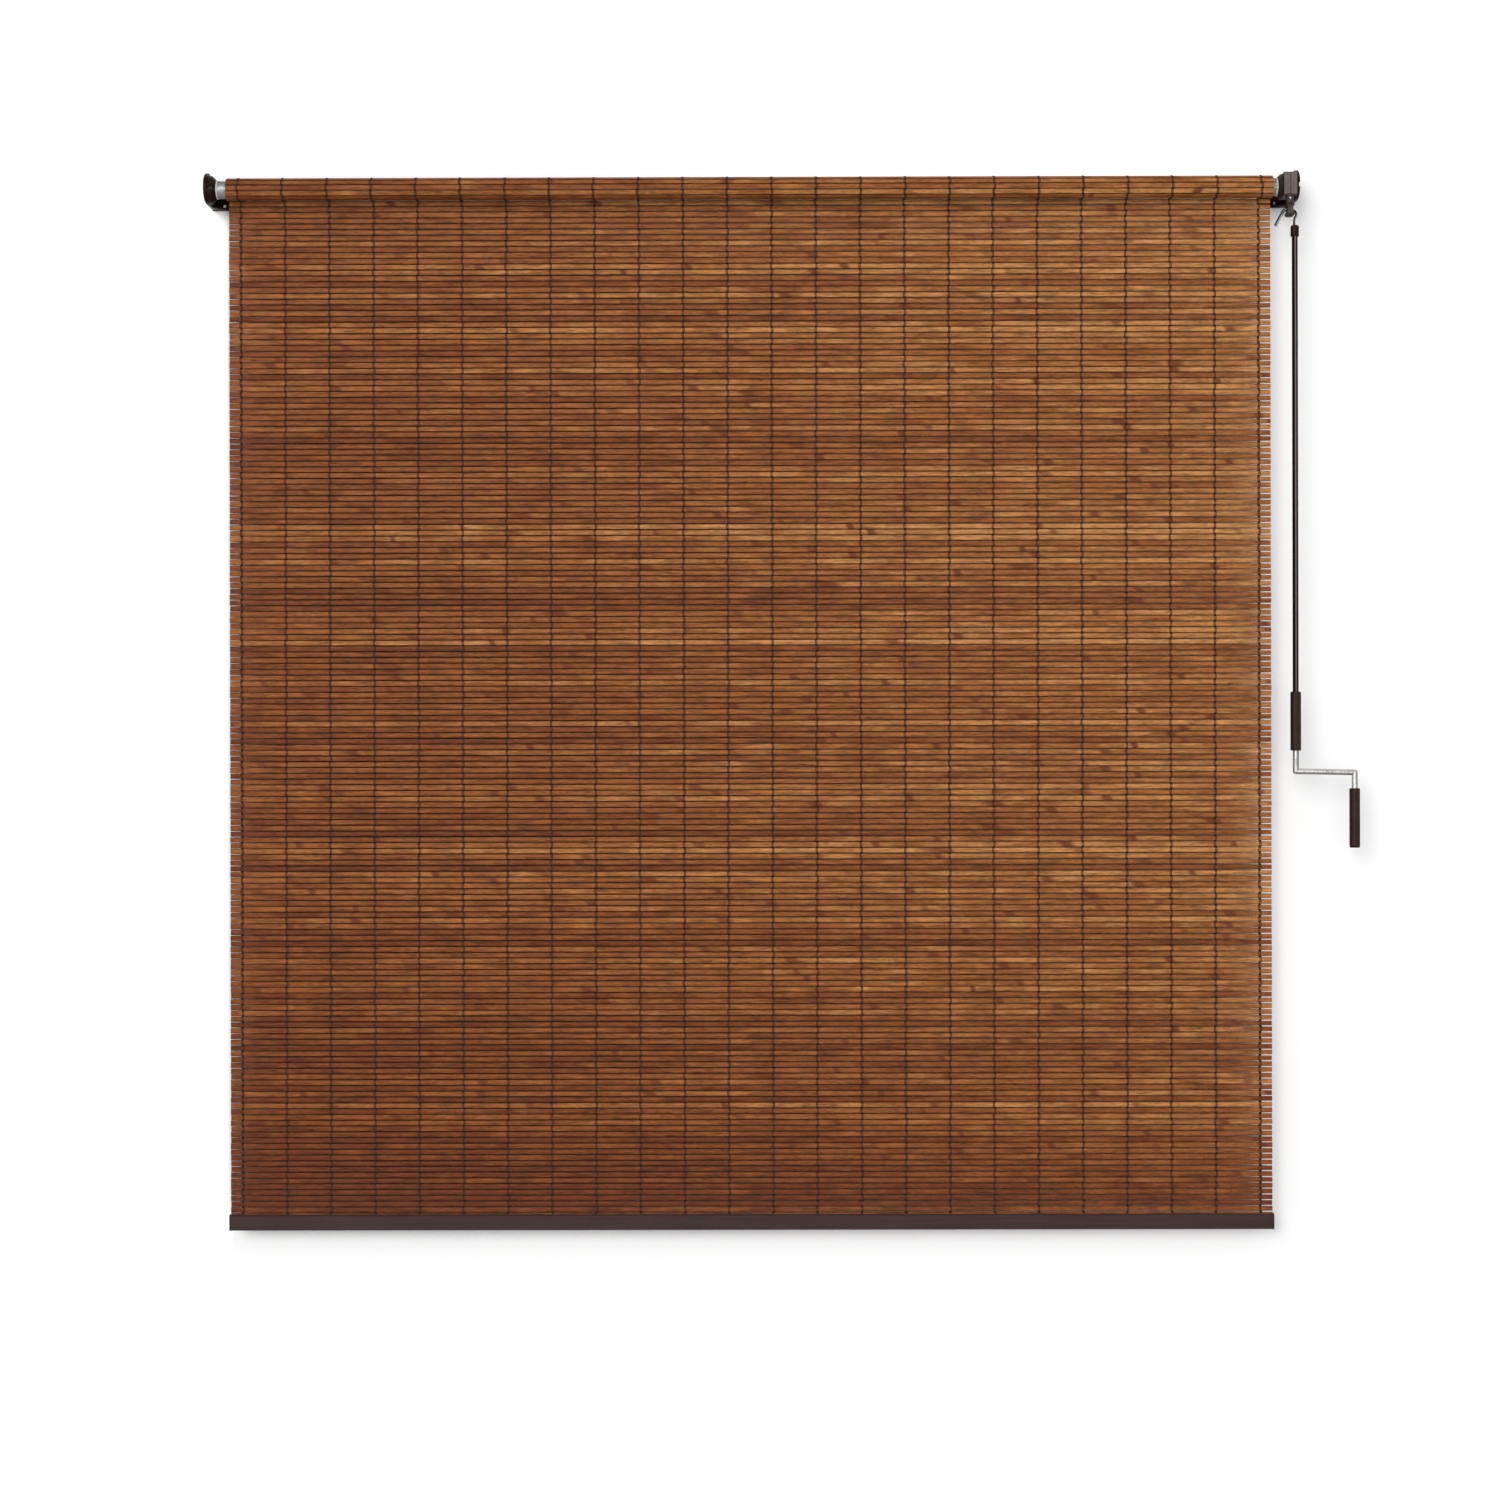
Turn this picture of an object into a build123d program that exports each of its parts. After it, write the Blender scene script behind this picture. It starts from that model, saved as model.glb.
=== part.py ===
from build123d import *
from math import acos, cos, degrees, pi, radians, sin, tan
import os

# Roller blind of bamboo slats, wound on a tube by a crank and worm gear.
# Millimetres. X runs along the tube, Y points at the wall, Z is up.
# The wall is the plane y = 0, and the origin is the centre of the four wall screw holes.

# Mat of slats and cords
MAT_WIDTH = 1800.0
SLAT_PITCH = 10.0
SLAT_FACE = 8.6
SLAT_THICK = 2.4
SLAT_EASE = 0.6
SLAT_COUNT = 178
CORD_COLUMNS = 24
CORD_MARGIN = 20.8
CORD_PAIR = 2.0
CORD_WIDE = 1.2
CORD_THICK = 0.8
CORD_FRONT_CLEAR = 2.3

# Roller tube and the turns of mat left on it
AXIS_FROM_WALL = 58.0
TUBE_R = 15.0
TUBE_WALL = 1.2
TUBE_BARE_LEFT = 14.0
TUBE_BARE_RIGHT = 5.0
ROLL_DEEP = 4.9
ROLL_TURN_DROP = 2.6
ROLL_GROOVE = 1.8
ROLL_BORE_GAP = 0.05

# Plugs, idler pin and drive shaft in the tube
PLUG_LENGTH = 40.0
PLUG_GAP = 0.05
FLANGE_LIP = 0.8
FLANGE_THICK = 2.5
PIN_R = 4.0
PIN_LENGTH = 36.0
PIN_TONGUE = 6.0
SHAFT_SIDE = 8.0
SHAFT_IN_PLUG = 35.0
RUN_GAP = 0.06
FIT_GAP = 0.02

# Wall brackets
PLATE_THICK = 4.0
PLATE_HALF_Z = 24.0
PLATE_WIDTH = 54.0
PLATE_CORNER_R = 6.0
HOLE_OUTSET = 15.0
HOLE_Z = 16.0
HOLE_R = 2.75
HOLE_SINK = 1.6
HEAD_R = 26.5
HEAD_RISE = 2.0
SIDE_THICK = 6.0
SIDE_EASE = 1.5
RIB_THICK = 3.0
RIB_REACH_X = 24.0
RIB_REACH_Y = 26.0
BOSS_GAP = 1.5
BOSS_LENGTH = 12.0
BOSS_R = 24.0
BOSS_BEVEL = 6.0
KEEPER_SET = 5.0
KEEPER_GAP = 0.1
KEEPER_SHORT = 1.2

# Gear case
CASE_GAP = 1.0
CASE_FLANGE = 6.5
CASE_FLANGE_R = 22.0
CASE_FLANGE_BEVEL = 4.5
CASE_WIDTH = 22.0
CASE_FRONT_WALL = 2.8
CASE_BACK_WALL = 3.8
CASE_TOP_WALL = 4.2
CASE_HOOD = 2.6
CASE_EASE = 2.0
CASE_SEAM_DEEP = 0.5
CASE_SEAM_WIDE = 0.6
LUG_HALF_Y = 7.0
LUG_HALF_Z = 4.0
CAVITY_GAP = 0.7
CAVITY_SIDE_GAP = 2.0
CASE_END_WALL = 1.5
CASE_SCREW_R = 1.5
CASE_SCREW_HEAD_R = 2.8
CASE_SCREW_HEAD = 1.8
CASE_SCREW_SKIN = 3.0
CASE_SCREW_BACK_IN = 3.5
CASE_SCREW_BACK_DROP = 4.0
CASE_SCREW_FRONT_SET = 11.0
CASE_SCREW_FRONT_DROP = 2.8

# Worm and wheel, one start to twelve teeth
TEETH = 12
PITCH_R = 12.0
WORM_PITCH_R = 5.5
TOOTH_THICK = 2.5
ADDENDUM = 1.5
WHEEL_DEDENDUM = 2.2
WORM_DEDENDUM = 1.9
FLANK = radians(20)
WHEEL_HALF_X = 5.0
HUB_R = 7.0
HUB_SET = 0.5
WORM_HALF_Z = 8.5
WORM_FACETS = 16
WORM_COLLAR_R = 5.6
WORM_COLLAR = 3.4
WORM_SHAFT_R = 4.0
WORM_SHAFT_SET = 0.6
THRUST_GAP = 0.1
BUSH_R = 6.0
BUSH_TOP_LENGTH = 4.0

# Crank eye and its cross pin
EYE_R = 7.0
EYE_CASE_GAP = 0.8
EYE_NECK = 12.6
EYE_SHAFT_SHORT = 1.0
EYE_WIRE_DROP = 10.5
EYE_FOOT = 12.4
EYE_HALF_Y = 10.0
EYE_HOLE_R = 5.0
EYE_WAIST = 8.0
EYE_SCALLOP_R = 9.0
EYE_EASE = 2.5
EYE_CORNER = 5.0
EYE_PIN_R = 1.25
EYE_PIN_DROP = 4.2
EYE_PIN_PROUD = 0.3

# Crank
WIRE_R = 2.75
WIRE_REST_GAP = 0.05
HOOK_STRAIGHT = 8.4
HOOK_OVER_R = 8.0
HOOK_RETURN_R = 12.0
HOOK_FALL_R = 9.0
HOOK_TAIL_LEAN = 28
HOOK_TAIL = 25.7
HOOK_DROP = 27.1
HOOK_SHANK = 8.4
ROD_OFFSET = 8.6
ROD_R = 5.0
ROD_WALL = 1.0
FERRULE_R = 7.15
FERRULE_LENGTH = 18.8
FERRULE_EASE = 2.0
ROD_IN_FERRULE = 8.2
ROD_SHOWN = 780.2
ROD_IN_GRIP = 69.0
SPIGOT = 28.0
ARM_DROP = 35.4
ARM_REACH = 100.6
ARM_FALL = 2.0
HANDLE_SHOWN = 27.2
HANDLE_SHORT = 7.3
HANDLE_TIP = 5.0
HANDLE_TIP_R = 3.5

# Grips
GRIP_R = 9.0
GRIP_EASE = 1.2
UPPER_GRIP = 101.0
LOWER_GRIP = 101.7
GRIP_BORE_GAP = 0.15
RING_R = 6.6
RING_THICK = 3.0
RING_POCKET_GAP = 0.3
WASHER_THICK = 1.6
CAP_THICK = 2.0
CAP_PLUG = 3.0

# Bottom rail
RAIL_DEPTH = 13.0
RAIL_HEIGHT = 26.7
RAIL_WALL = 1.4
RAIL_EASE = 2.0
RAIL_SLOT_GAP = 0.3
RAIL_SLOT_DEPTH = 16.5
RAIL_FLOOR_GAP = 0.5
RAIL_CAP_THICK = 2.0
RAIL_CAP_PLUG = 8.0
RAIL_CAP_PROUD = 0.4

# Places across the wall's depth
AXIS_Y = -AXIS_FROM_WALL
ROLL_OUTER_R = TUBE_R + ROLL_DEEP
ROLL_SLATS = int(2 * pi * ROLL_OUTER_R / SLAT_PITCH)
MAT_BACK_Y = AXIS_Y + ROLL_OUTER_R
MAT_FRONT_Y = MAT_BACK_Y - SLAT_THICK
CORD_FRONT_Y = MAT_FRONT_Y - CORD_THICK
CORD_BACK_Y = MAT_BACK_Y + CORD_THICK
WORM_Y = AXIS_Y - PITCH_R - WORM_PITCH_R
RAIL_FRONT = (MAT_FRONT_Y + MAT_BACK_Y - RAIL_DEPTH) / 2
RAIL_BACK = RAIL_FRONT + RAIL_DEPTH

# Places along the tube, outwards from the mat
HALF_WIDTH = MAT_WIDTH / 2
HOLE_X = HALF_WIDTH + HOLE_OUTSET
TUBE_LEFT = -HALF_WIDTH - TUBE_BARE_LEFT
BOSS_RIGHT = TUBE_LEFT - FLANGE_THICK - BOSS_GAP
LEFT_IN = BOSS_RIGHT - BOSS_LENGTH
LEFT_OUT = LEFT_IN - SIDE_THICK
TUBE_RIGHT = HALF_WIDTH + TUBE_BARE_RIGHT
CASE_FLANGE_LEFT = TUBE_RIGHT + FLANGE_THICK + CASE_GAP
CASE_LEFT = CASE_FLANGE_LEFT + CASE_FLANGE
CASE_SPLIT = CASE_LEFT + CASE_WIDTH / 2
RIGHT_IN = CASE_LEFT + CASE_WIDTH
RIGHT_OUT = RIGHT_IN + SIDE_THICK
HUB_LEFT = CASE_FLANGE_LEFT + HUB_SET
HUB_RIGHT = RIGHT_IN - CASE_END_WALL
ROD_X = CASE_SPLIT + ROD_OFFSET
HANDLE_X = ROD_X + ARM_REACH

# Sizes of the tube's plugs, the gears and their case
TUBE_BORE_R = TUBE_R - TUBE_WALL
FLANGE_R = TUBE_R + FLANGE_LIP
PLUG_R = TUBE_BORE_R - PLUG_GAP
AXIAL_PITCH = 2 * pi * PITCH_R / TEETH
WHEEL_TIP_R = PITCH_R + ADDENDUM
WHEEL_ROOT_R = PITCH_R - WHEEL_DEDENDUM
WHEEL_ROOM_R = WHEEL_TIP_R + CAVITY_GAP
WORM_TIP_R = WORM_PITCH_R + ADDENDUM
WORM_CORE_R = WORM_PITCH_R - WORM_DEDENDUM
WORM_ROOM_R = WORM_TIP_R + CAVITY_GAP
CASE_FRONT = WORM_Y - WORM_ROOM_R - CASE_FRONT_WALL
CASE_BACK = AXIS_Y + WHEEL_ROOM_R + CASE_BACK_WALL
CASE_HALF_Z = WHEEL_ROOM_R + CASE_TOP_WALL
CASE_TOP = CASE_HALF_Z + CASE_HOOD
CASE_SCREW_BACK_Z = CASE_HALF_Z - CASE_SCREW_BACK_DROP
CASE_SCREW_FRONT_Z = CASE_HALF_Z - CASE_SCREW_FRONT_DROP
CASE_SCREW_SPOTS = [
    (CASE_BACK - CASE_SCREW_BACK_IN, CASE_SCREW_BACK_Z),
    (CASE_BACK - CASE_SCREW_BACK_IN, -CASE_SCREW_BACK_Z),
    (WORM_Y + CASE_SCREW_FRONT_SET, CASE_SCREW_FRONT_Z),
    (WORM_Y + CASE_SCREW_FRONT_SET, -CASE_SCREW_FRONT_Z),
]
WORM_COLLAR_Z = WORM_HALF_Z + WORM_COLLAR
BUSH_Z = WORM_COLLAR_Z + THRUST_GAP
BUSH_TOP = BUSH_Z + BUSH_TOP_LENGTH

# Heights of the eye and the crank, downwards from the case
EYE_TOP = -CASE_HALF_Z - EYE_CASE_GAP
EYE_SHOULDER = EYE_TOP - EYE_NECK
EYE_WIRE_Z = EYE_SHOULDER - EYE_WIRE_DROP
EYE_BOTTOM = EYE_WIRE_Z - EYE_FOOT
EYE_PIN_Z = EYE_TOP - EYE_PIN_DROP
WORM_SHAFT_TOP = BUSH_TOP - WORM_SHAFT_SET
WORM_SHAFT_BOTTOM = EYE_SHOULDER + EYE_SHAFT_SHORT
FERRULE_TOP = EYE_WIRE_Z - HOOK_DROP
FERRULE_BOTTOM = FERRULE_TOP - FERRULE_LENGTH
HOOK_SHANK_END = FERRULE_TOP - HOOK_SHANK
ROD_TOP = FERRULE_BOTTOM + ROD_IN_FERRULE
UPPER_GRIP_TOP = FERRULE_BOTTOM - ROD_SHOWN
UPPER_GRIP_BOTTOM = UPPER_GRIP_TOP - UPPER_GRIP
ROD_END = UPPER_GRIP_TOP - ROD_IN_GRIP
SPIGOT_TOP = ROD_END + SPIGOT
ARM_Z = UPPER_GRIP_BOTTOM - ARM_DROP
ARM_END_Z = ARM_Z - ARM_FALL
LOWER_GRIP_TOP = ARM_END_Z - HANDLE_SHOWN
LOWER_GRIP_BOTTOM = LOWER_GRIP_TOP - LOWER_GRIP
HANDLE_END = LOWER_GRIP_BOTTOM + HANDLE_SHORT
HANDLE_TIP_TOP = HANDLE_END + HANDLE_TIP
POCKET_R = RING_R + RING_POCKET_GAP

# Heights of the mat's ends and the rail
MAT_TOP = SLAT_FACE / 2 - SLAT_PITCH
MAT_BOTTOM = -SLAT_PITCH * SLAT_COUNT - SLAT_FACE / 2
RAIL_SLOT_FLOOR = MAT_BOTTOM - RAIL_FLOOR_GAP
RAIL_TOP = RAIL_SLOT_FLOOR + RAIL_SLOT_DEPTH
RAIL_BOTTOM = RAIL_TOP - RAIL_HEIGHT


def block(x0, x1, y0, y1, z0, z1):
    """Box between two corners."""
    return Pos((x0 + x1) / 2, (y0 + y1) / 2, (z0 + z1) / 2) * Box(x1 - x0, y1 - y0, z1 - z0)


def bar_x(r, x0, x1, y=AXIS_Y, z=0):
    """Round bar along X, on the tube's axis unless told otherwise."""
    return Pos((x0 + x1) / 2, y, z) * Rot(0, 90, 0) * Cylinder(r, x1 - x0)


def bar_y(r, y0, y1, x, z):
    """Round bar along Y."""
    return Pos(x, (y0 + y1) / 2, z) * Rot(90, 0, 0) * Cylinder(r, y1 - y0)


def bar_z(r, z0, z1, x, y=WORM_Y):
    """Round bar along Z, in the worm's plane unless told otherwise."""
    return Pos(x, y, (z0 + z1) / 2) * Cylinder(r, z1 - z0)


def cone_x(r0, r1, x0, x1):
    """Bevelled disc on the tube's axis, r0 at x0 and r1 at x1."""
    return Pos((x0 + x1) / 2, AXIS_Y, 0) * Rot(0, 90, 0) * Cone(r0, r1, x1 - x0)


def square_x(side, x0, x1):
    """Square bar on the tube's axis."""
    half = side / 2
    return block(x0, x1, AXIS_Y - half, AXIS_Y + half, -half, half)


def prism_x(points, x0, x1):
    """Outline of (y, z) points, carried along X from x0 to x1."""
    outline = make_face(Polyline([(x0, y, z) for y, z in points], close=True))
    return extrude(outline, amount=x1 - x0, dir=(1, 0, 0))


def prism_z(points, z0, z1):
    """Outline of (x, y) points, carried up Z from z0 to z1."""
    outline = make_face(Polyline([(x, y, z0) for x, y in points], close=True))
    return extrude(outline, amount=z1 - z0, dir=(0, 0, 1))


def save(name, *shapes):
    """Write one node, as a solid or as a group of separate solids."""
    solids = [solid for shape in shapes for solid in shape.solids()]
    for number, solid in enumerate(solids):
        solid.label = name if len(solids) == 1 else f"{name}_{number + 1}"
    node = solids[0] if len(solids) == 1 else Compound(label=name, children=solids)
    export_step(node, f"parts/{name}.step")


# Mat

def hanging_slats():
    """The slats below the roll, each with its two front edges eased."""
    half = SLAT_FACE / 2
    section = [
        (MAT_BACK_Y, -half),
        (MAT_BACK_Y, half),
        (MAT_FRONT_Y + SLAT_EASE, half),
        (MAT_FRONT_Y, half - SLAT_EASE),
        (MAT_FRONT_Y, SLAT_EASE - half),
        (MAT_FRONT_Y + SLAT_EASE, -half),
    ]
    slat = prism_x(section, -HALF_WIDTH, HALF_WIDTH)
    return [Pos(0, 0, -SLAT_PITCH * (k + 1)) * slat for k in range(SLAT_COUNT)]


def cords():
    """Two cords before and two behind the slats in each column."""
    spacing = (MAT_WIDTH - 2 * CORD_MARGIN) / (CORD_COLUMNS - 1)
    front_top = MAT_TOP - CORD_FRONT_CLEAR
    strands = []
    for k in range(CORD_COLUMNS):
        column = CORD_MARGIN - HALF_WIDTH + spacing * k
        for side in (-1, 1):
            left = column + (side * CORD_PAIR - CORD_WIDE) / 2
            right = left + CORD_WIDE
            strands.append(block(left, right, CORD_FRONT_Y, MAT_FRONT_Y, MAT_BOTTOM, front_top))
            strands.append(block(left, right, MAT_BACK_Y, CORD_BACK_Y, MAT_BOTTOM, MAT_TOP))
    return strands


def roll():
    """The turns left on the tube: slat faces on a spiral that ends where the mat hangs."""
    step = 2 * pi / ROLL_SLATS
    half = SLAT_FACE / 2
    outline = []
    for k in range(ROLL_SLATS):
        angle = k * step
        reach = ROLL_OUTER_R - ROLL_TURN_DROP * k / ROLL_SLATS
        for along in (-half, half):
            y = reach * cos(angle) - along * sin(angle)
            z = reach * sin(angle) + along * cos(angle)
            outline.append((AXIS_Y + y, z))
        groove = reach - ROLL_GROOVE
        turn = angle + step / 2
        outline.append((AXIS_Y + groove * cos(turn), groove * sin(turn)))
    wound = prism_x(outline, -HALF_WIDTH, HALF_WIDTH)
    return wound - bar_x(TUBE_R + ROLL_BORE_GAP, -HALF_WIDTH, HALF_WIDTH)


# Tube, plugs and shaft

def tube():
    """Roller tube."""
    return bar_x(TUBE_R, TUBE_LEFT, TUBE_RIGHT) - bar_x(TUBE_BORE_R, TUBE_LEFT, TUBE_RIGHT)


def idler_plug():
    """Plug in the tube's left end, turning on the idler pin."""
    end = TUBE_LEFT - FLANGE_THICK
    inner = TUBE_LEFT + PLUG_LENGTH
    shape = bar_x(FLANGE_R, end, TUBE_LEFT) + bar_x(PLUG_R, TUBE_LEFT, inner)
    return shape - bar_x(PIN_R + RUN_GAP, end, inner)


def idler_pin():
    """Fixed pin: a round journal in the plug, and a flat tongue in the bracket's slot."""
    end = TUBE_LEFT - FLANGE_THICK - RUN_GAP
    half = PIN_TONGUE / 2
    journal = bar_x(PIN_R, end, end + PIN_LENGTH)
    tongue = block(LEFT_IN + FIT_GAP, end, AXIS_Y - PIN_R, AXIS_Y + PIN_R, -half, half)
    return journal + tongue


def drive_plug():
    """Plug in the tube's right end, turned by the square shaft."""
    end = TUBE_RIGHT + FLANGE_THICK
    inner = TUBE_RIGHT - PLUG_LENGTH
    shape = bar_x(FLANGE_R, TUBE_RIGHT, end) + bar_x(PLUG_R, inner, TUBE_RIGHT)
    return shape - square_x(SHAFT_SIDE + 2 * FIT_GAP, inner, end)


def drive_shaft():
    """Square shaft that carries the wheel's turning to the plug."""
    return square_x(SHAFT_SIDE, TUBE_RIGHT - SHAFT_IN_PLUG, HUB_RIGHT)


# Brackets

def bracket(side):
    """Wall plate, side plate with a round head, and two ribs. Side is -1 at the left, 1 at the right."""
    out_x, in_x = (LEFT_OUT, LEFT_IN) if side < 0 else (RIGHT_OUT, RIGHT_IN)
    plate_in_x = out_x - side * PLATE_WIDTH
    x0, x1 = sorted((out_x, in_x))
    head_top, head_bottom = HEAD_RISE + HEAD_R, HEAD_RISE - HEAD_R
    arm = [(AXIS_Y, head_bottom), (AXIS_Y, head_top), (0, PLATE_HALF_Z), (0, -PLATE_HALF_Z)]
    cheek = bar_x(HEAD_R, x0, x1, AXIS_Y, HEAD_RISE) + prism_x(arm, x0, x1)
    outer_face = cheek.faces().sort_by(Axis.X)[-1 if side > 0 else 0]
    rim = [edge for edge in outer_face.edges() if edge.center().Y < -PLATE_THICK]
    cheek = chamfer(rim, SIDE_EASE)
    w0, w1 = sorted((out_x, plate_in_x))
    wall = block(w0, w1, -PLATE_THICK, 0, -PLATE_HALF_Z, PLATE_HALF_Z)
    corners = wall.edges().filter_by(Axis.Y).sort_by(Axis.X)
    wall = fillet(corners[:2] if side > 0 else corners[-2:], PLATE_CORNER_R)
    gusset = [
        (in_x, -PLATE_THICK - RIB_REACH_Y),
        (in_x, -PLATE_THICK),
        (in_x - side * RIB_REACH_X, -PLATE_THICK),
    ]
    shape = cheek + wall
    shape += prism_z(gusset, PLATE_HALF_Z - RIB_THICK, PLATE_HALF_Z)
    shape += prism_z(gusset, -PLATE_HALF_Z, RIB_THICK - PLATE_HALF_Z)
    for z in (-HOLE_Z, HOLE_Z):
        shape -= bar_y(HOLE_R, -PLATE_THICK, 0, side * HOLE_X, z)
        sink = Pos(side * HOLE_X, HOLE_SINK / 2 - PLATE_THICK, z) * Rot(90, 0, 0)
        shape -= sink * Cone(HOLE_R, HOLE_R + HOLE_SINK, HOLE_SINK)
    return shape


def left_bracket():
    """Left bracket, with a bevelled boss whose front slot takes the idler pin."""
    bevel = BOSS_RIGHT - BOSS_BEVEL
    boss = bar_x(BOSS_R, LEFT_IN, bevel) + cone_x(BOSS_R, BOSS_R - BOSS_BEVEL, bevel, BOSS_RIGHT)
    half = PIN_TONGUE / 2 + FIT_GAP
    back = AXIS_Y + PIN_R + FIT_GAP
    slot = block(LEFT_IN, BOSS_RIGHT, AXIS_Y - HEAD_R, back, -half, half)
    return bracket(-1) + boss - slot


def pin_keeper():
    """Push-in block that shuts the left bracket's slot before the pin."""
    half = PIN_TONGUE / 2
    front = AXIS_Y - BOSS_R + KEEPER_SET
    back = AXIS_Y - PIN_R - KEEPER_GAP
    return block(LEFT_IN + FIT_GAP, BOSS_RIGHT - BOSS_BEVEL / 2, front, back, -half, half)


def right_bracket():
    """Right bracket, with a slot open to the front for the gear case's lug."""
    half = LUG_HALF_Z + FIT_GAP
    back = AXIS_Y + LUG_HALF_Y + FIT_GAP
    return bracket(1) - block(RIGHT_IN, RIGHT_OUT, AXIS_Y - HEAD_R, back, -half, half)


def case_keeper():
    """Push-in block that shuts the right bracket's slot before the lug."""
    front = AXIS_Y - HEAD_R + KEEPER_SET
    back = AXIS_Y - LUG_HALF_Y - KEEPER_GAP
    return block(RIGHT_IN + FIT_GAP, RIGHT_OUT - KEEPER_SHORT, front, back, -LUG_HALF_Z, LUG_HALF_Z)


# Gear case

def case_outside():
    """The case as one block: eased box, bevelled flange and lug, with a groove round the seam."""
    box = block(CASE_LEFT, RIGHT_IN, CASE_FRONT, CASE_BACK, -CASE_HALF_Z, CASE_TOP)
    shape = chamfer(box.edges().filter_by(Axis.X), CASE_EASE)
    seam_left, seam_right = CASE_SPLIT - CASE_SEAM_WIDE / 2, CASE_SPLIT + CASE_SEAM_WIDE / 2
    ring = block(seam_left, seam_right, CASE_FRONT, CASE_BACK, -CASE_HALF_Z, CASE_TOP)
    core_front, core_back = CASE_FRONT + CASE_SEAM_DEEP, CASE_BACK - CASE_SEAM_DEEP
    core_bottom, core_top = CASE_SEAM_DEEP - CASE_HALF_Z, CASE_TOP - CASE_SEAM_DEEP
    core = block(seam_left, seam_right, core_front, core_back, core_bottom, core_top)
    shape -= ring - chamfer(core.edges().filter_by(Axis.X), CASE_EASE)
    bevel_end = CASE_FLANGE_LEFT + CASE_FLANGE_BEVEL
    shape += cone_x(CASE_FLANGE_R - CASE_FLANGE_BEVEL, CASE_FLANGE_R, CASE_FLANGE_LEFT, bevel_end)
    shape += bar_x(CASE_FLANGE_R, bevel_end, CASE_LEFT)
    lug_front, lug_back = AXIS_Y - LUG_HALF_Y, AXIS_Y + LUG_HALF_Y
    return shape + block(RIGHT_IN, RIGHT_OUT, lug_front, lug_back, -LUG_HALF_Z, LUG_HALF_Z)


def case_body():
    """Both halves of the case as one, with its rooms, bores and screw holes."""
    shape = case_outside()
    room = WHEEL_HALF_X + CAVITY_SIDE_GAP
    shape -= bar_x(WHEEL_ROOM_R, CASE_SPLIT - room, CASE_SPLIT + room)
    shape -= bar_x(HUB_R + RUN_GAP, CASE_FLANGE_LEFT, HUB_RIGHT + RUN_GAP)
    shape -= bar_z(WORM_ROOM_R, -BUSH_Z, BUSH_Z, CASE_SPLIT)
    shape -= bar_z(BUSH_R, BUSH_Z, BUSH_TOP, CASE_SPLIT)
    shape -= bar_z(BUSH_R, -CASE_HALF_Z, -BUSH_Z, CASE_SPLIT)
    for y, z in CASE_SCREW_SPOTS:
        shape -= bar_x(CASE_SCREW_R + FIT_GAP, CASE_LEFT + CASE_SCREW_SKIN, RIGHT_IN, y, z)
        shape -= bar_x(CASE_SCREW_HEAD_R + FIT_GAP, RIGHT_IN - CASE_SCREW_HEAD, RIGHT_IN, y, z)
    return shape


def case_half(inner):
    """One half of the case, on the tube's side of the seam or beyond it."""
    x0, x1 = (CASE_FLANGE_LEFT, CASE_SPLIT) if inner else (CASE_SPLIT, RIGHT_OUT)
    reach = CASE_BACK - CASE_FRONT
    return case_body() & block(x0, x1, CASE_FRONT - reach, CASE_BACK + reach, -reach, reach)


def case_screws():
    """Four screws that hold the case's halves together, heads flush under the bracket."""
    screws = []
    for y, z in CASE_SCREW_SPOTS:
        head_left = RIGHT_IN - CASE_SCREW_HEAD
        shank = bar_x(CASE_SCREW_R, CASE_LEFT + CASE_SCREW_SKIN, head_left, y, z)
        screws.append(shank + bar_x(CASE_SCREW_HEAD_R, head_left, RIGHT_IN, y, z))
    return screws


def bush(z0, z1):
    """Bearing bush on the worm's shaft."""
    ring = bar_z(BUSH_R - FIT_GAP, z0, z1, CASE_SPLIT)
    return ring - bar_z(WORM_SHAFT_R + RUN_GAP, z0, z1, CASE_SPLIT)


# Worm and wheel

def wheel_outline(x, turn):
    """Outline of the wheel's teeth at one place along its axis."""
    points = []
    for k in range(TEETH):
        middle = pi + turn + 2 * pi * k / TEETH
        for side, reach in ((-1, WHEEL_ROOT_R), (-1, WHEEL_TIP_R), (1, WHEEL_TIP_R), (1, WHEEL_ROOT_R)):
            half = TOOTH_THICK / 2 + (PITCH_R - reach) * tan(FLANK)
            angle = middle + side * half / reach
            points.append((x, AXIS_Y + reach * cos(angle), reach * sin(angle)))
    return make_face(Polyline(points, close=True))


def worm_wheel():
    """Wheel with slanted teeth, a hub that turns in the case, and a square bore."""
    lean = AXIAL_PITCH / (2 * pi * WORM_PITCH_R) * WHEEL_HALF_X / PITCH_R
    left = wheel_outline(CASE_SPLIT - WHEEL_HALF_X, -lean)
    right = wheel_outline(CASE_SPLIT + WHEEL_HALF_X, lean)
    shape = loft([left, right], ruled=True) + bar_x(HUB_R, HUB_LEFT, HUB_RIGHT)
    return shape - square_x(SHAFT_SIDE + 2 * FIT_GAP, HUB_LEFT, HUB_RIGHT)


def worm_corners():
    """Corners of the section across the worm, as (radius, angle): its core with the thread as one lobe."""
    def half_angle(r):
        return pi * (TOOTH_THICK + 2 * (WORM_PITCH_R - r) * tan(FLANK)) / AXIAL_PITCH

    tip, flank, core = (half_angle(r) for r in (WORM_TIP_R, WORM_PITCH_R, WORM_CORE_R))
    lobe = [(WORM_TIP_R, tip), (WORM_PITCH_R, flank), (WORM_CORE_R, core)]
    lower = [(r, -angle) for r, angle in reversed(lobe)]
    return lower + [(WORM_TIP_R, 0)] + lobe + [(WORM_CORE_R, pi)]


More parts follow.
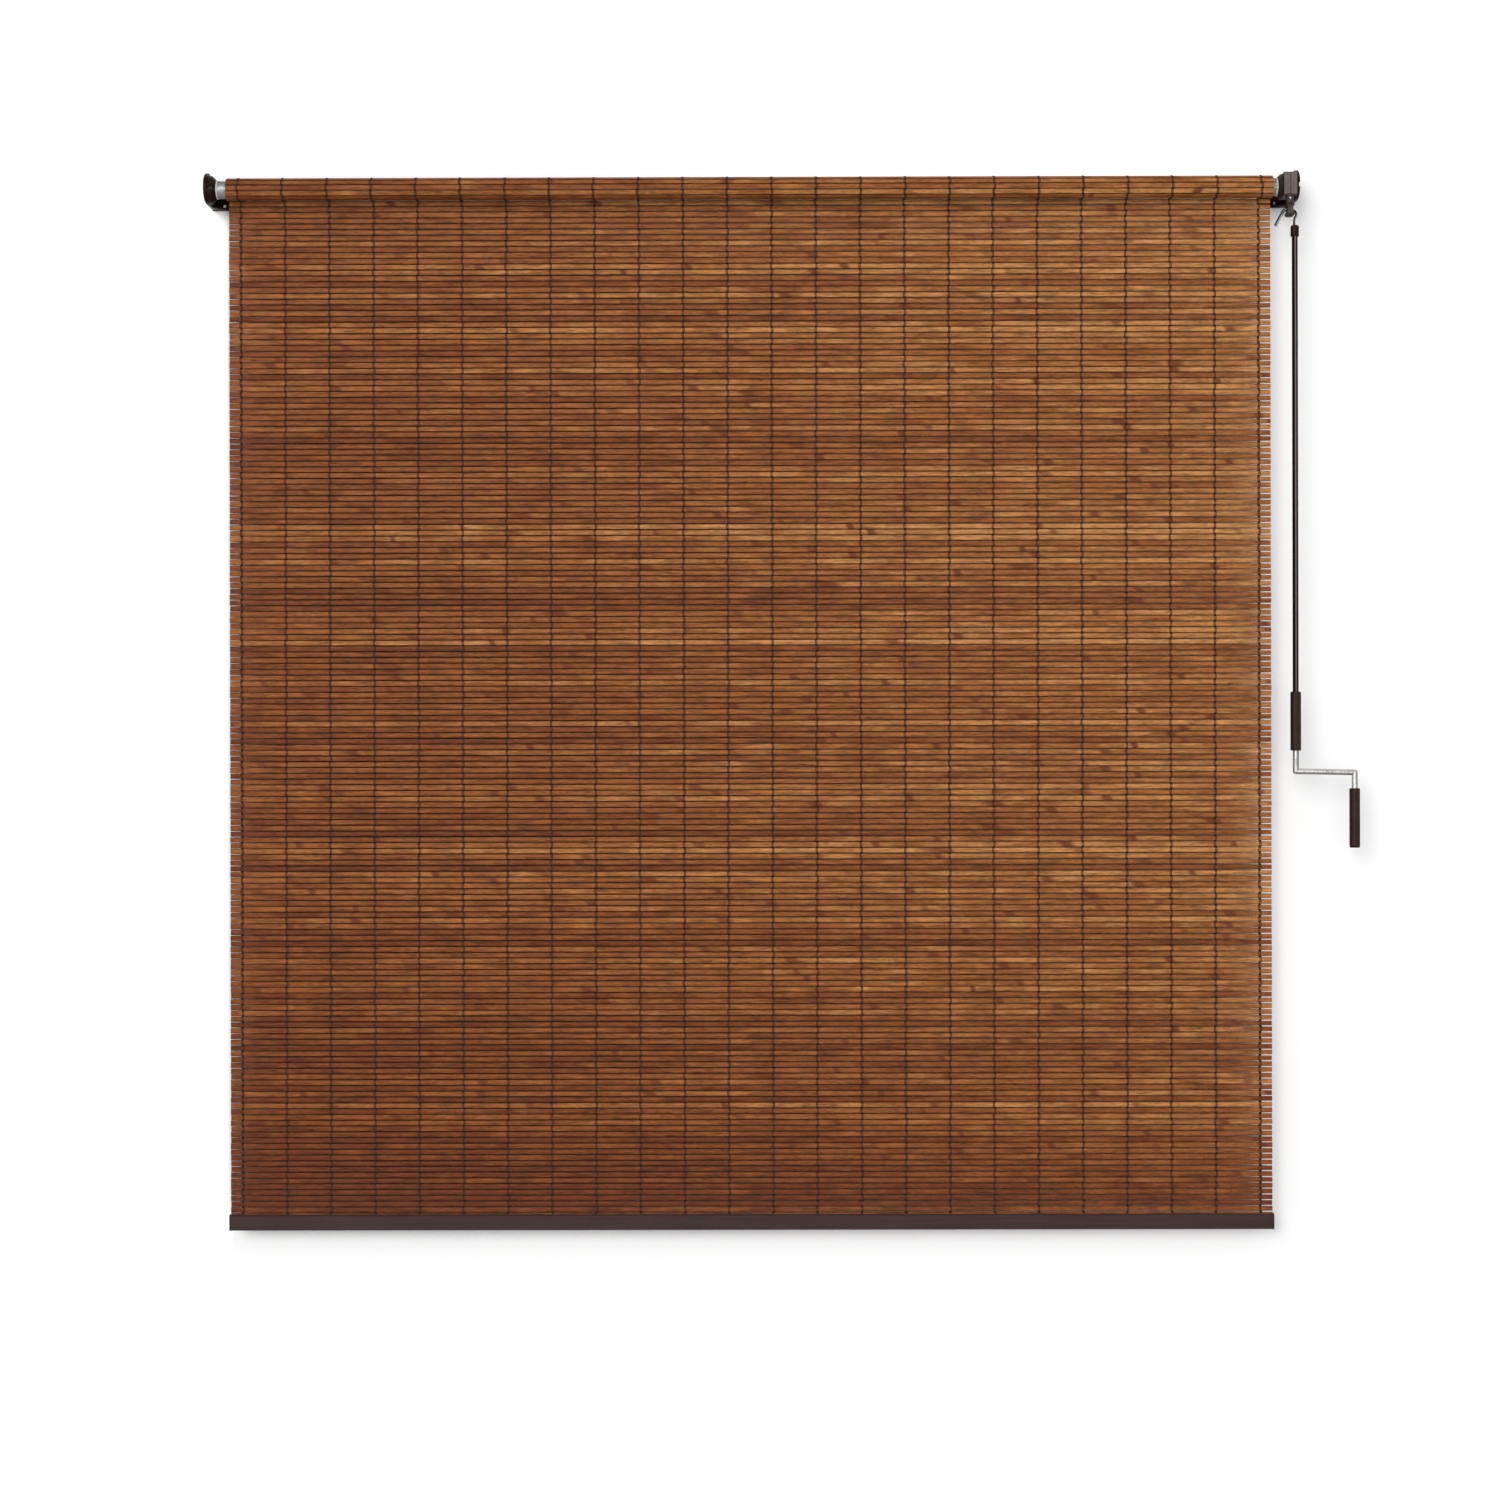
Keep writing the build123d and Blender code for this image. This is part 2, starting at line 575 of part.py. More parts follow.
def worm_thread():
    """Right-hand thread in flat facets, set so that a gap faces a tooth at rest."""
    turns = 2 * WORM_HALF_Z / AXIAL_PITCH
    levels = round(turns * WORM_FACETS)
    corners = worm_corners()
    rings = []
    for level in range(levels + 1):
        share = level / levels - 1 / 2
        turn = -pi / 2 + 2 * pi * turns * share
        z = 2 * WORM_HALF_Z * share
        ring = [
            Vector(CASE_SPLIT + r * cos(angle + turn), WORM_Y + r * sin(angle + turn), z)
            for r, angle in corners
        ]
        rings.append(ring)
    count = len(corners)
    faces = [Face(Wire.make_polygon(rings[0])), Face(Wire.make_polygon(rings[-1]))]
    for low, high in zip(rings, rings[1:]):
        for k in range(count):
            n = (k + 1) % count
            faces.append(Face(Wire.make_polygon([low[k], low[n], high[n]])))
            faces.append(Face(Wire.make_polygon([low[k], high[n], high[k]])))
    return Solid(Shell(faces))


def worm():
    """Steel worm: thread, two collars and a shaft that reaches down into the eye."""
    shape = worm_thread()
    shape += bar_z(WORM_COLLAR_R, WORM_HALF_Z, WORM_COLLAR_Z, CASE_SPLIT)
    shape += bar_z(WORM_COLLAR_R, -WORM_COLLAR_Z, -WORM_HALF_Z, CASE_SPLIT)
    shape += bar_z(WORM_SHAFT_R, WORM_COLLAR_Z, WORM_SHAFT_TOP, CASE_SPLIT)
    shape += bar_z(WORM_SHAFT_R, WORM_SHAFT_BOTTOM, -WORM_COLLAR_Z, CASE_SPLIT)
    return shape - eye_pin_hole()


def eye_pin_hole():
    """Hole for the cross pin, through the eye and the worm's shaft."""
    return bar_y(EYE_PIN_R + FIT_GAP, WORM_Y - EYE_R, WORM_Y + EYE_R, CASE_SPLIT, EYE_PIN_Z)


def eye_pin():
    """Cross pin through the eye and the worm's shaft."""
    reach = EYE_R + EYE_PIN_PROUD
    return bar_y(EYE_PIN_R, WORM_Y - reach, WORM_Y + reach, CASE_SPLIT, EYE_PIN_Z)


def crank_eye():
    """Eye on the worm's lower end, waisted where the hook's wire passes."""
    left, right = CASE_SPLIT - EYE_R, CASE_SPLIT + EYE_R
    front, back = WORM_Y - EYE_HALF_Y, WORM_Y + EYE_HALF_Y
    head = block(left, right, front, back, EYE_BOTTOM, EYE_SHOULDER)
    head = chamfer(head.edges().filter_by(Axis.X), EYE_CORNER)
    head = chamfer(head.edges().filter_by(Axis.Y).group_by(Axis.Z)[0], EYE_EASE)
    shape = bar_z(EYE_R, EYE_SHOULDER, EYE_TOP, CASE_SPLIT) + head
    for side in (-1, 1):
        x = CASE_SPLIT + side * (EYE_WAIST / 2 + EYE_SCALLOP_R)
        shape -= bar_y(EYE_SCALLOP_R, front, back, x, EYE_WIRE_Z)
    hole_z = EYE_WIRE_Z - WIRE_R - WIRE_REST_GAP + EYE_HOLE_R
    shape -= bar_x(EYE_HOLE_R, left, right, WORM_Y, hole_z)
    shape -= bar_z(WORM_SHAFT_R + FIT_GAP, WORM_SHAFT_BOTTOM - FIT_GAP, EYE_TOP, CASE_SPLIT)
    return shape - eye_pin_hole()


# Crank

def hook():
    """Bent wire: free tail, over through the eye, back under the eye and down into the ferrule."""
    half = HOOK_STRAIGHT / 2
    back_turn = degrees(acos((ROD_OFFSET - half + HOOK_RETURN_R) / (HOOK_OVER_R + HOOK_RETURN_R)))
    side_on = Plane(origin=(CASE_SPLIT, WORM_Y, EYE_WIRE_Z), x_dir=(1, 0, 0), z_dir=(0, -1, 0))
    with BuildLine(side_on) as path:
        over = Line((-half, 0), (half, 0))
        down = JernArc(over @ 1, (1, 0), HOOK_OVER_R, -90 - back_turn)
        under = JernArc(down @ 1, down % 1, HOOK_RETURN_R, back_turn)
        Line(under @ 1, (ROD_OFFSET, HOOK_SHANK_END - EYE_WIRE_Z))
        fall = JernArc(over @ 0, (-1, 0), HOOK_FALL_R, 90 - HOOK_TAIL_LEAN)
        Line(fall @ 1, fall @ 1 + (fall % 1) * HOOK_TAIL)
    bottom = Plane(origin=(ROD_X, WORM_Y, HOOK_SHANK_END), z_dir=(0, 0, 1))
    return sweep(bottom * Circle(WIRE_R), path=path.wire())


def ferrule():
    """Sleeve that joins the hook's shank to the rod."""
    shape = bar_z(FERRULE_R, FERRULE_BOTTOM, FERRULE_TOP, ROD_X)
    shape = chamfer(shape.edges().group_by(Axis.Z)[-1], FERRULE_EASE)
    shape -= bar_z(WIRE_R + FIT_GAP, HOOK_SHANK_END - FIT_GAP, FERRULE_TOP, ROD_X)
    return shape - bar_z(ROD_R + FIT_GAP, FERRULE_BOTTOM, ROD_TOP + FIT_GAP, ROD_X)


def crank_rod():
    """Painted tube from the ferrule into the upper grip."""
    return bar_z(ROD_R, ROD_END, ROD_TOP, ROD_X) - bar_z(ROD_R - ROD_WALL, ROD_END, ROD_TOP, ROD_X)


def crank_arm():
    """Bright bar with ball corners: spigot in the rod, arm to the right, handle down."""
    corner = Pos(ROD_X, WORM_Y, ARM_Z)
    end_corner = Pos(HANDLE_X, WORM_Y, ARM_END_Z)
    across = Plane(corner.position, z_dir=end_corner.position - corner.position)
    shape = bar_z(ROD_R, ARM_Z, ROD_END, ROD_X) + corner * Sphere(ROD_R)
    shape += extrude(across * Circle(ROD_R), amount=(end_corner.position - corner.position).length)
    shape += end_corner * Sphere(ROD_R)
    shape += bar_z(ROD_R, HANDLE_TIP_TOP, ARM_END_Z, HANDLE_X)
    shape += bar_z(ROD_R - ROD_WALL - FIT_GAP, ROD_END, SPIGOT_TOP, ROD_X)
    return shape + bar_z(HANDLE_TIP_R, HANDLE_END, HANDLE_TIP_TOP, HANDLE_X)


def grip_sleeve(x, z0, z1):
    """Grip that turns on a bar, with eased ends."""
    shape = bar_z(GRIP_R, z0, z1, x)
    shape = chamfer(shape.edges().filter_by(GeomType.CIRCLE), GRIP_EASE)
    return shape - bar_z(ROD_R + GRIP_BORE_GAP, z0, z1, x)


def upper_grip():
    """Upper grip, with a pocket below for the ring that holds it up."""
    shape = grip_sleeve(ROD_X, UPPER_GRIP_BOTTOM, UPPER_GRIP_TOP)
    pocket_top = UPPER_GRIP_BOTTOM + RING_THICK + GRIP_BORE_GAP
    return shape - bar_z(POCKET_R, UPPER_GRIP_BOTTOM, pocket_top, ROD_X)


def upper_grip_ring():
    """Ring pressed on the arm under the upper grip."""
    top = UPPER_GRIP_BOTTOM + RING_THICK
    ring = bar_z(RING_R, UPPER_GRIP_BOTTOM, top, ROD_X)
    return ring - bar_z(ROD_R + FIT_GAP, UPPER_GRIP_BOTTOM, top, ROD_X)


def lower_grip():
    """Lower grip, with a pocket below for the washer and the cap's plug."""
    bottom = LOWER_GRIP_BOTTOM + CAP_THICK
    shape = grip_sleeve(HANDLE_X, bottom, LOWER_GRIP_TOP)
    return shape - bar_z(POCKET_R, bottom, HANDLE_TIP_TOP + GRIP_BORE_GAP, HANDLE_X)


def lower_grip_washer():
    """Push-on washer on the handle's tip, holding the lower grip up."""
    bottom = HANDLE_TIP_TOP - WASHER_THICK
    ring = bar_z(RING_R, bottom, HANDLE_TIP_TOP, HANDLE_X)
    return ring - bar_z(HANDLE_TIP_R + FIT_GAP, bottom, HANDLE_TIP_TOP, HANDLE_X)


def lower_grip_cap():
    """Cap that closes the lower grip's end."""
    disc_top = LOWER_GRIP_BOTTOM + CAP_THICK
    disc = bar_z(GRIP_R, LOWER_GRIP_BOTTOM, disc_top, HANDLE_X)
    disc = chamfer(disc.edges().group_by(Axis.Z)[0], GRIP_EASE)
    return disc + bar_z(POCKET_R - FIT_GAP, disc_top, disc_top + CAP_PLUG, HANDLE_X)


# Bottom rail

def bottom_rail():
    """Hollow rail with a slot along its top for the mat's last slats."""
    shape = block(-HALF_WIDTH, HALF_WIDTH, RAIL_FRONT, RAIL_BACK, RAIL_BOTTOM, RAIL_TOP)
    shape = chamfer(shape.edges().filter_by(Axis.X), RAIL_EASE)
    slot_front = CORD_FRONT_Y - RAIL_SLOT_GAP
    slot_back = CORD_BACK_Y + RAIL_SLOT_GAP
    shape -= block(-HALF_WIDTH, HALF_WIDTH, slot_front, slot_back, RAIL_SLOT_FLOOR, RAIL_TOP)
    front, back = RAIL_FRONT + RAIL_WALL, RAIL_BACK - RAIL_WALL
    low, high = RAIL_BOTTOM + RAIL_WALL, RAIL_SLOT_FLOOR - RAIL_WALL
    return shape - block(-HALF_WIDTH, HALF_WIDTH, front, back, low, high)


def rail_cap(side):
    """End cap with a plug in the rail's hollow. Side is -1 at the left, 1 at the right."""
    end = side * HALF_WIDTH
    x0, x1 = sorted((end, end + side * RAIL_CAP_THICK))
    front, back = RAIL_FRONT - RAIL_CAP_PROUD, RAIL_BACK + RAIL_CAP_PROUD
    cap = block(x0, x1, front, back, RAIL_BOTTOM - RAIL_CAP_PROUD, RAIL_TOP + RAIL_CAP_PROUD)
    cap = chamfer(cap.edges().filter_by(Axis.X), RAIL_EASE)
    p0, p1 = sorted((end, end - side * RAIL_CAP_PLUG))
    skin = RAIL_WALL + FIT_GAP
    low, high = RAIL_BOTTOM + skin, RAIL_SLOT_FLOOR - skin
    return cap + block(p0, p1, RAIL_FRONT + skin, RAIL_BACK - skin, low, high)


def main():
    """Build every node and write it."""
    os.makedirs("parts", exist_ok=True)
    save("bamboo_slats", *hanging_slats())
    save("mat_cords", *cords())
    save("mat_roll", roll())
    save("roller_tube", tube())
    save("idler_plug", idler_plug())
    save("idler_pin", idler_pin())
    save("drive_plug", drive_plug())
    save("drive_shaft", drive_shaft())
    save("left_bracket", left_bracket())
    save("pin_keeper", pin_keeper())
    save("right_bracket", right_bracket())
    save("case_keeper", case_keeper())
    save("gear_case_inner", case_half(True))
    save("gear_case_outer", case_half(False))
    save("gear_case_screws", *case_screws())
    save("worm_wheel", worm_wheel())
    save("worm", worm())
    save("worm_top_bush", bush(BUSH_Z, BUSH_TOP))
    save("worm_lower_bush", bush(-CASE_HALF_Z, -BUSH_Z))
    save("crank_eye", crank_eye())
    save("eye_pin", eye_pin())
    save("crank_hook", hook())
    save("hook_ferrule", ferrule())
    save("crank_rod", crank_rod())
    save("crank_arm", crank_arm())
    save("upper_grip", upper_grip())
    save("upper_grip_ring", upper_grip_ring())
    save("lower_grip", lower_grip())
    save("lower_grip_washer", lower_grip_washer())
    save("lower_grip_cap", lower_grip_cap())
    save("bottom_rail", bottom_rail())
    save("rail_cap_left", rail_cap(-1))
    save("rail_cap_right", rail_cap(1))


main()
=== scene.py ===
"""Bamboo roll up blind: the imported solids, dressed for the picture."""

import logging
import math
from dataclasses import dataclass, field
from enum import Enum
from functools import reduce
from typing import Any

import bpy
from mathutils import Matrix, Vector


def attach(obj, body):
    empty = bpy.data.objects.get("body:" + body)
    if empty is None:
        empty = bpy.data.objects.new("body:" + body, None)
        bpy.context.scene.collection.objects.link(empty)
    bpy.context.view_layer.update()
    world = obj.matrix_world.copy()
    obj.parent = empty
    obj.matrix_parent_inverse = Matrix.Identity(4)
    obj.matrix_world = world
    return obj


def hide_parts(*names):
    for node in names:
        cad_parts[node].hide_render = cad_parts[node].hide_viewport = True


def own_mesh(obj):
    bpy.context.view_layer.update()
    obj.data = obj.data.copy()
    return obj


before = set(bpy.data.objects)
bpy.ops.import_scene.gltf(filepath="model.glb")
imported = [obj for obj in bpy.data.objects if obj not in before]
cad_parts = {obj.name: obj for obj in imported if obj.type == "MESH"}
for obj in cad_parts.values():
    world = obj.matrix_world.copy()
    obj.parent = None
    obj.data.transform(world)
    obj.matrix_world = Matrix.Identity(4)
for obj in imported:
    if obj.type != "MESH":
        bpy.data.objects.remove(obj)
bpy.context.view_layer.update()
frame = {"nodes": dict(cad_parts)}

log = logging.getLogger("blind")

MM = 0.001
Colour = tuple[float, float, float]
Triple = tuple[float, float, float]
Span = tuple[float, float]
Inputs = dict[str | int, Any]
Socket = bpy.types.NodeSocket


# Node trees


class Graph:
    """A node tree being built, for finishes and for shapes alike."""

    near_by = 0.3

    def __init__(self, tree: bpy.types.NodeTree) -> None:
        """Keep the tree that the nodes go into."""
        self.tree = tree

    @staticmethod
    def pick(sockets: Any, key: str | int) -> Socket:
        """Find a socket.

        Args:
            sockets: a node's inputs or outputs.
            key: the socket's place, or its name among those in use.

        Returns:
            The socket.
        """
        if isinstance(key, int):
            return sockets[key]
        return next(socket for socket in sockets if socket.name == key and socket.enabled)

    def feed(self, socket: Socket, value: Any) -> None:
        """Link an output to a socket, or set the socket's own value.

        Args:
            socket: the input to feed.
            value: an output socket, or a plain value.
        """
        if isinstance(value, Socket):
            self.tree.links.new(value, socket)
        else:
            socket.default_value = value

    def node(self, kind: str, inputs: Inputs | None = None, **settings: Any) -> bpy.types.Node:
        """Add a node.

        Args:
            kind: the node's type name.
            inputs: what feeds each input.
            settings: the node's own options.

        Returns:
            The node.
        """
        made = self.tree.nodes.new(kind)
        for name, value in settings.items():
            setattr(made, name, value)
        for key, value in (inputs or {}).items():
            self.feed(self.pick(made.inputs, key), value)
        return made

    def out(
        self, kind: str, inputs: Inputs | None = None, take: str | int = 0, **settings: Any
    ) -> Socket:
        """Add a node and give one of its outputs, by its place or name."""
        return self.pick(self.node(kind, inputs, **settings).outputs, take)

    def math(self, operation: str, *values: Any) -> Socket:
        """Do one sum on numbers, by Blender's name for it."""
        return self.out("ShaderNodeMath", dict(enumerate(values)), operation=operation)

    def add(self, *terms: Any) -> Socket:
        """Add numbers up, in their order."""
        return reduce(lambda total, term: self.math("ADD", total, term), terms)

    def less(self, first: Any, second: Any) -> Socket:
        """Take the second number from the first."""
        return self.math("SUBTRACT", first, second)

    def centred(self, value: Socket) -> Socket:
        """Shift a number between 0 and 1 so that its middle is nought."""
        return self.less(value, 0.5)

    def times(self, *terms: Any) -> Socket:
        """Multiply numbers, in their order."""
        return reduce(lambda total, term: self.math("MULTIPLY", total, term), terms)

    def most(self, *terms: Any) -> Socket:
        """Give the largest of some numbers."""
        return reduce(lambda largest, term: self.math("MAXIMUM", largest, term), terms)

    def near(self, value: Socket, whole: int) -> Socket:
        """Tell whether a number is a certain whole one: 1 if it is, else 0."""
        return self.math("COMPARE", value, float(whole), self.near_by)

    def blend(self, first: Socket, second: Socket, share: float) -> Socket:
        """Add two numbers up by their shares, of which the first one's is given."""
        return self.add(self.times(first, share), self.times(second, 1.0 - share))

    def spread(
        self, value: Any, low: Any, high: Any, to_low: float = 0.0, to_high: float = 1.0
    ) -> Socket:
        """Map one range on to another, without going past its ends."""
        terms = {0: value, 1: low, 2: high, 3: to_low, 4: to_high}
        return self.out("ShaderNodeMapRange", terms, clamp=True)

    def noise(self, at: Socket, scale: float, detail: float, rough: float = 0.5) -> Socket:
        """Give a soft random number over space: how fine, and how many and strong its finer layers."""
        terms = {"Vector": at, "Scale": scale, "Detail": detail, "Roughness": rough}
        return self.out("ShaderNodeTexNoise", terms)

    def vector(self, x: Any = 0.0, y: Any = 0.0, z: Any = 0.0) -> Socket:
        """Join three numbers in one vector."""
        return self.out("ShaderNodeCombineXYZ", {0: x, 1: y, 2: z})

    def apart(self, vector: Socket) -> list[Socket]:
        """Take a vector's three numbers apart."""
        return list(self.node("ShaderNodeSeparateXYZ", {0: vector}).outputs)

    def grey(self, value: Socket) -> Socket:
        """Turn a number into a grey."""
        return self.out("ShaderNodeCombineColor", {0: value, 1: value, 2: value})

    def seen(self) -> Socket:
        """Tell what a lens, a mirror or glass looks at, 1, from what only lights the rest, 0."""
        path = self.node("ShaderNodeLightPath").outputs
        return self.most(path["Is Camera Ray"], path["Is Glossy Ray"], path["Is Transmission Ray"])


class ShapeGraph(Graph):
    """A Geometry Nodes tree with named inputs, and what it takes to run it."""

    KINDS = {float: "NodeSocketFloat", int: "NodeSocketInt", bpy.types.Material: "NodeSocketMaterial"}

    def __init__(self, name: str, inputs: dict[str, Any]) -> None:
        """Start a tree.

        Args:
            name: what the tree is called.
            inputs: each named input, with the value it runs with.
        """
        super().__init__(bpy.data.node_groups.new(name, "GeometryNodeTree"))
        self.values: dict[str, Any] = {}
        face = self.tree.interface
        for label, value in inputs.items():
            socket = face.new_socket(label, in_out="INPUT", socket_type=self.KINDS[type(value)])
            self.values[socket.identifier] = value
        face.new_socket("Geometry", in_out="OUTPUT", socket_type="NodeSocketGeometry")
        entry = self.tree.nodes.new("NodeGroupInput")
        self.given = {label: self.pick(entry.outputs, label) for label in inputs}

    def index(self) -> Socket:
        """Give each element's own number."""
        return self.out("GeometryNodeInputIndex")

    def random(self, low: float, high: float, seed: int) -> Socket:
        """Give each element a random number between two others; the seed says which draw it is."""
        terms = {"Min": low, "Max": high, "ID": self.index(), "Seed": seed}
        return self.out("FunctionNodeRandomValue", terms, "Value", data_type="FLOAT")

    def store(self, geometry: Socket, name: str, value: Any, domain: str = "POINT") -> Socket:
        """Keep a named number on the geometry's points or instances, for a finish to read."""
        inputs = {"Geometry": geometry, "Name": name, "Value": value}
        return self.out("GeometryNodeStoreNamedAttribute", inputs, data_type="FLOAT", domain=domain)

    def move(self, geometry: Socket, **inputs: Any) -> Socket:
        """Move a geometry's points, to a Position or by an Offset."""
        return self.out("GeometryNodeSetPosition", {"Geometry": geometry, **inputs})

    def read(self, name: str) -> Socket:
        """Read a number that the geometry keeps."""
        return self.out(
            "GeometryNodeInputNamedAttribute", {"Name": name}, "Attribute", data_type="FLOAT"
        )

    def run(self, name: str, geometry: Socket) -> bpy.types.Object:
        """Close the tree, run it once and keep its result as a plain mesh.

        Args:
            name: the piece's name.
            geometry: what the tree made, which gets the input named Material.

        Returns:
            The finished piece.
        """
        real = self.out("GeometryNodeRealizeInstances", {"Geometry": geometry})
        finish = {"Geometry": real, "Material": self.given["Material"]}
        self.node("NodeGroupOutput", {0: self.out("GeometryNodeSetMaterial", finish)})
        maker = bpy.data.objects.new(name + "_maker", bpy.data.meshes.new(name + "_maker"))
        bpy.context.scene.collection.objects.link(maker)
        modifier = maker.modifiers.new("shape", "NODES")
        modifier.node_group = self.tree
        for identifier, value in self.values.items():
            modifier[identifier] = value
        graph = bpy.context.evaluated_depsgraph_get()
        mesh = bpy.data.meshes.new_from_object(maker.evaluated_get(graph), depsgraph=graph)
        mesh.name = name
        maker.modifiers.remove(modifier)
        bpy.data.objects.remove(maker)
        piece = bpy.data.objects.new(name, mesh)
        bpy.context.scene.collection.objects.link(piece)
        return piece


def shade(piece: bpy.types.Object, angle: float) -> None:
    """Shade a piece smooth, but sharp where its faces turn more than an angle.

    Args:
        piece: the piece.
        angle: the angle in degrees.
    """
    mesh = piece.data
    mesh.polygons.foreach_set("use_smooth", [True] * len(mesh.polygons))
    mesh.set_sharp_from_angle(angle=math.radians(angle))
    log.info("%s: %d faces", piece.name, len(mesh.polygons))


# Finishes


class Finish:
    """A procedural material, made once."""

    name: str
    noise_range: Span = (0.3, 0.7)
    rough: Span
    relief: Span
    specular = 0.5

    def __init__(self) -> None:
        """Make the material and let the finish draw its nodes."""
        self.material = bpy.data.materials.new(self.name)
        self.material.use_nodes = True
        self.graph = Graph(self.material.node_tree)
        self.shader = self.material.node_tree.nodes["Principled BSDF"]
        self.draw()

    def draw(self) -> None:
        """Draw the nodes; each finish has its own."""
        raise NotImplementedError

    def give(self, socket: str, value: Any) -> None:
        """Feed one of the shader's sockets with an output or a plain value."""
        self.graph.feed(self.shader.inputs[socket], value)

    def place(self, scale: Triple = (1.0, 1.0, 1.0)) -> Socket:
        """Give the object's own coordinates, in so many units to a metre on each axis."""
        spot = self.graph.out("ShaderNodeTexCoord", take="Object")
        return self.graph.out("ShaderNodeMapping", {"Vector": spot, "Scale": scale})

    def broad(self, low: float, high: float) -> Socket:
        """Tell a bar's broad front and back, 1, from its sides, 0, by its normals' share along Y."""
        # This mask is where painted highlight and painted side shade go.
        _, share, _ = self.graph.apart(self.graph.out("ShaderNodeTexCoord", take="Normal"))
        return self.graph.spread(self.graph.math("ABSOLUTE", share), low, high)

    def attribute(self, name: str) -> Socket:
        """Read a number that the shape keeps."""
        return self.graph.out("ShaderNodeAttribute", take="Fac", attribute_name=name)

    def ramp(self, value: Socket, stops: list[tuple[float, Colour]]) -> Socket:
        """Turn a number into a colour.

        Args:
            value: the number.
            stops: each stop's place and colour.

        Returns:
            The colour's socket.
        """
        node = self.graph.node("ShaderNodeValToRGB", {0: value})
        marks = node.color_ramp.elements
        while len(marks) < len(stops):
            marks.new(0.5)
        for mark, (place, colour) in zip(marks, stops):
            mark.position = place
            mark.color = (*colour, 1.0)
        return node.outputs[0]

    def mix(self, amount: Any, first: Any, second: Any, way: str = "MIX") -> Socket:
        """Mix so much of a second colour into the first, in one of Blender's ways."""
        terms = {"Factor": amount, "A": self.full(first), "B": self.full(second)}
        return self.graph.out("ShaderNodeMix", terms, "Result", data_type="RGBA", blend_type=way)

    @staticmethod
    def full(colour: Any) -> Any:
        """Give a plain colour its fourth number."""
        return (*colour, 1.0) if isinstance(colour, tuple) else colour

    def coat(self, colour: Socket, gloss: Socket, height: Socket) -> None:
        """Set the surface's colour, roughness, shine and relief.

        Args:
            colour: the colour.
            gloss: the noise that sets the roughness, within the finish's own range.
            height: what raises the surface, as strong and as deep as the relief says.
        """
        strength, depth = self.relief
        terms = {"Height": height, "Strength": strength, "Distance": depth}
        self.give("Base Color", colour)
        self.give("Roughness", self.graph.spread(gloss, *self.noise_range, *self.rough))
        self.give("Specular IOR Level", self.specular)
        self.give("Normal", self.graph.out("ShaderNodeBump", terms))


@dataclass(frozen=True)
class Grain:
    """One layer of a slat's pattern: its units to a metre along and to half the width."""

    along: float
    across: float
    detail: float
    rough: float = 0.6
    scale: float = 1.0


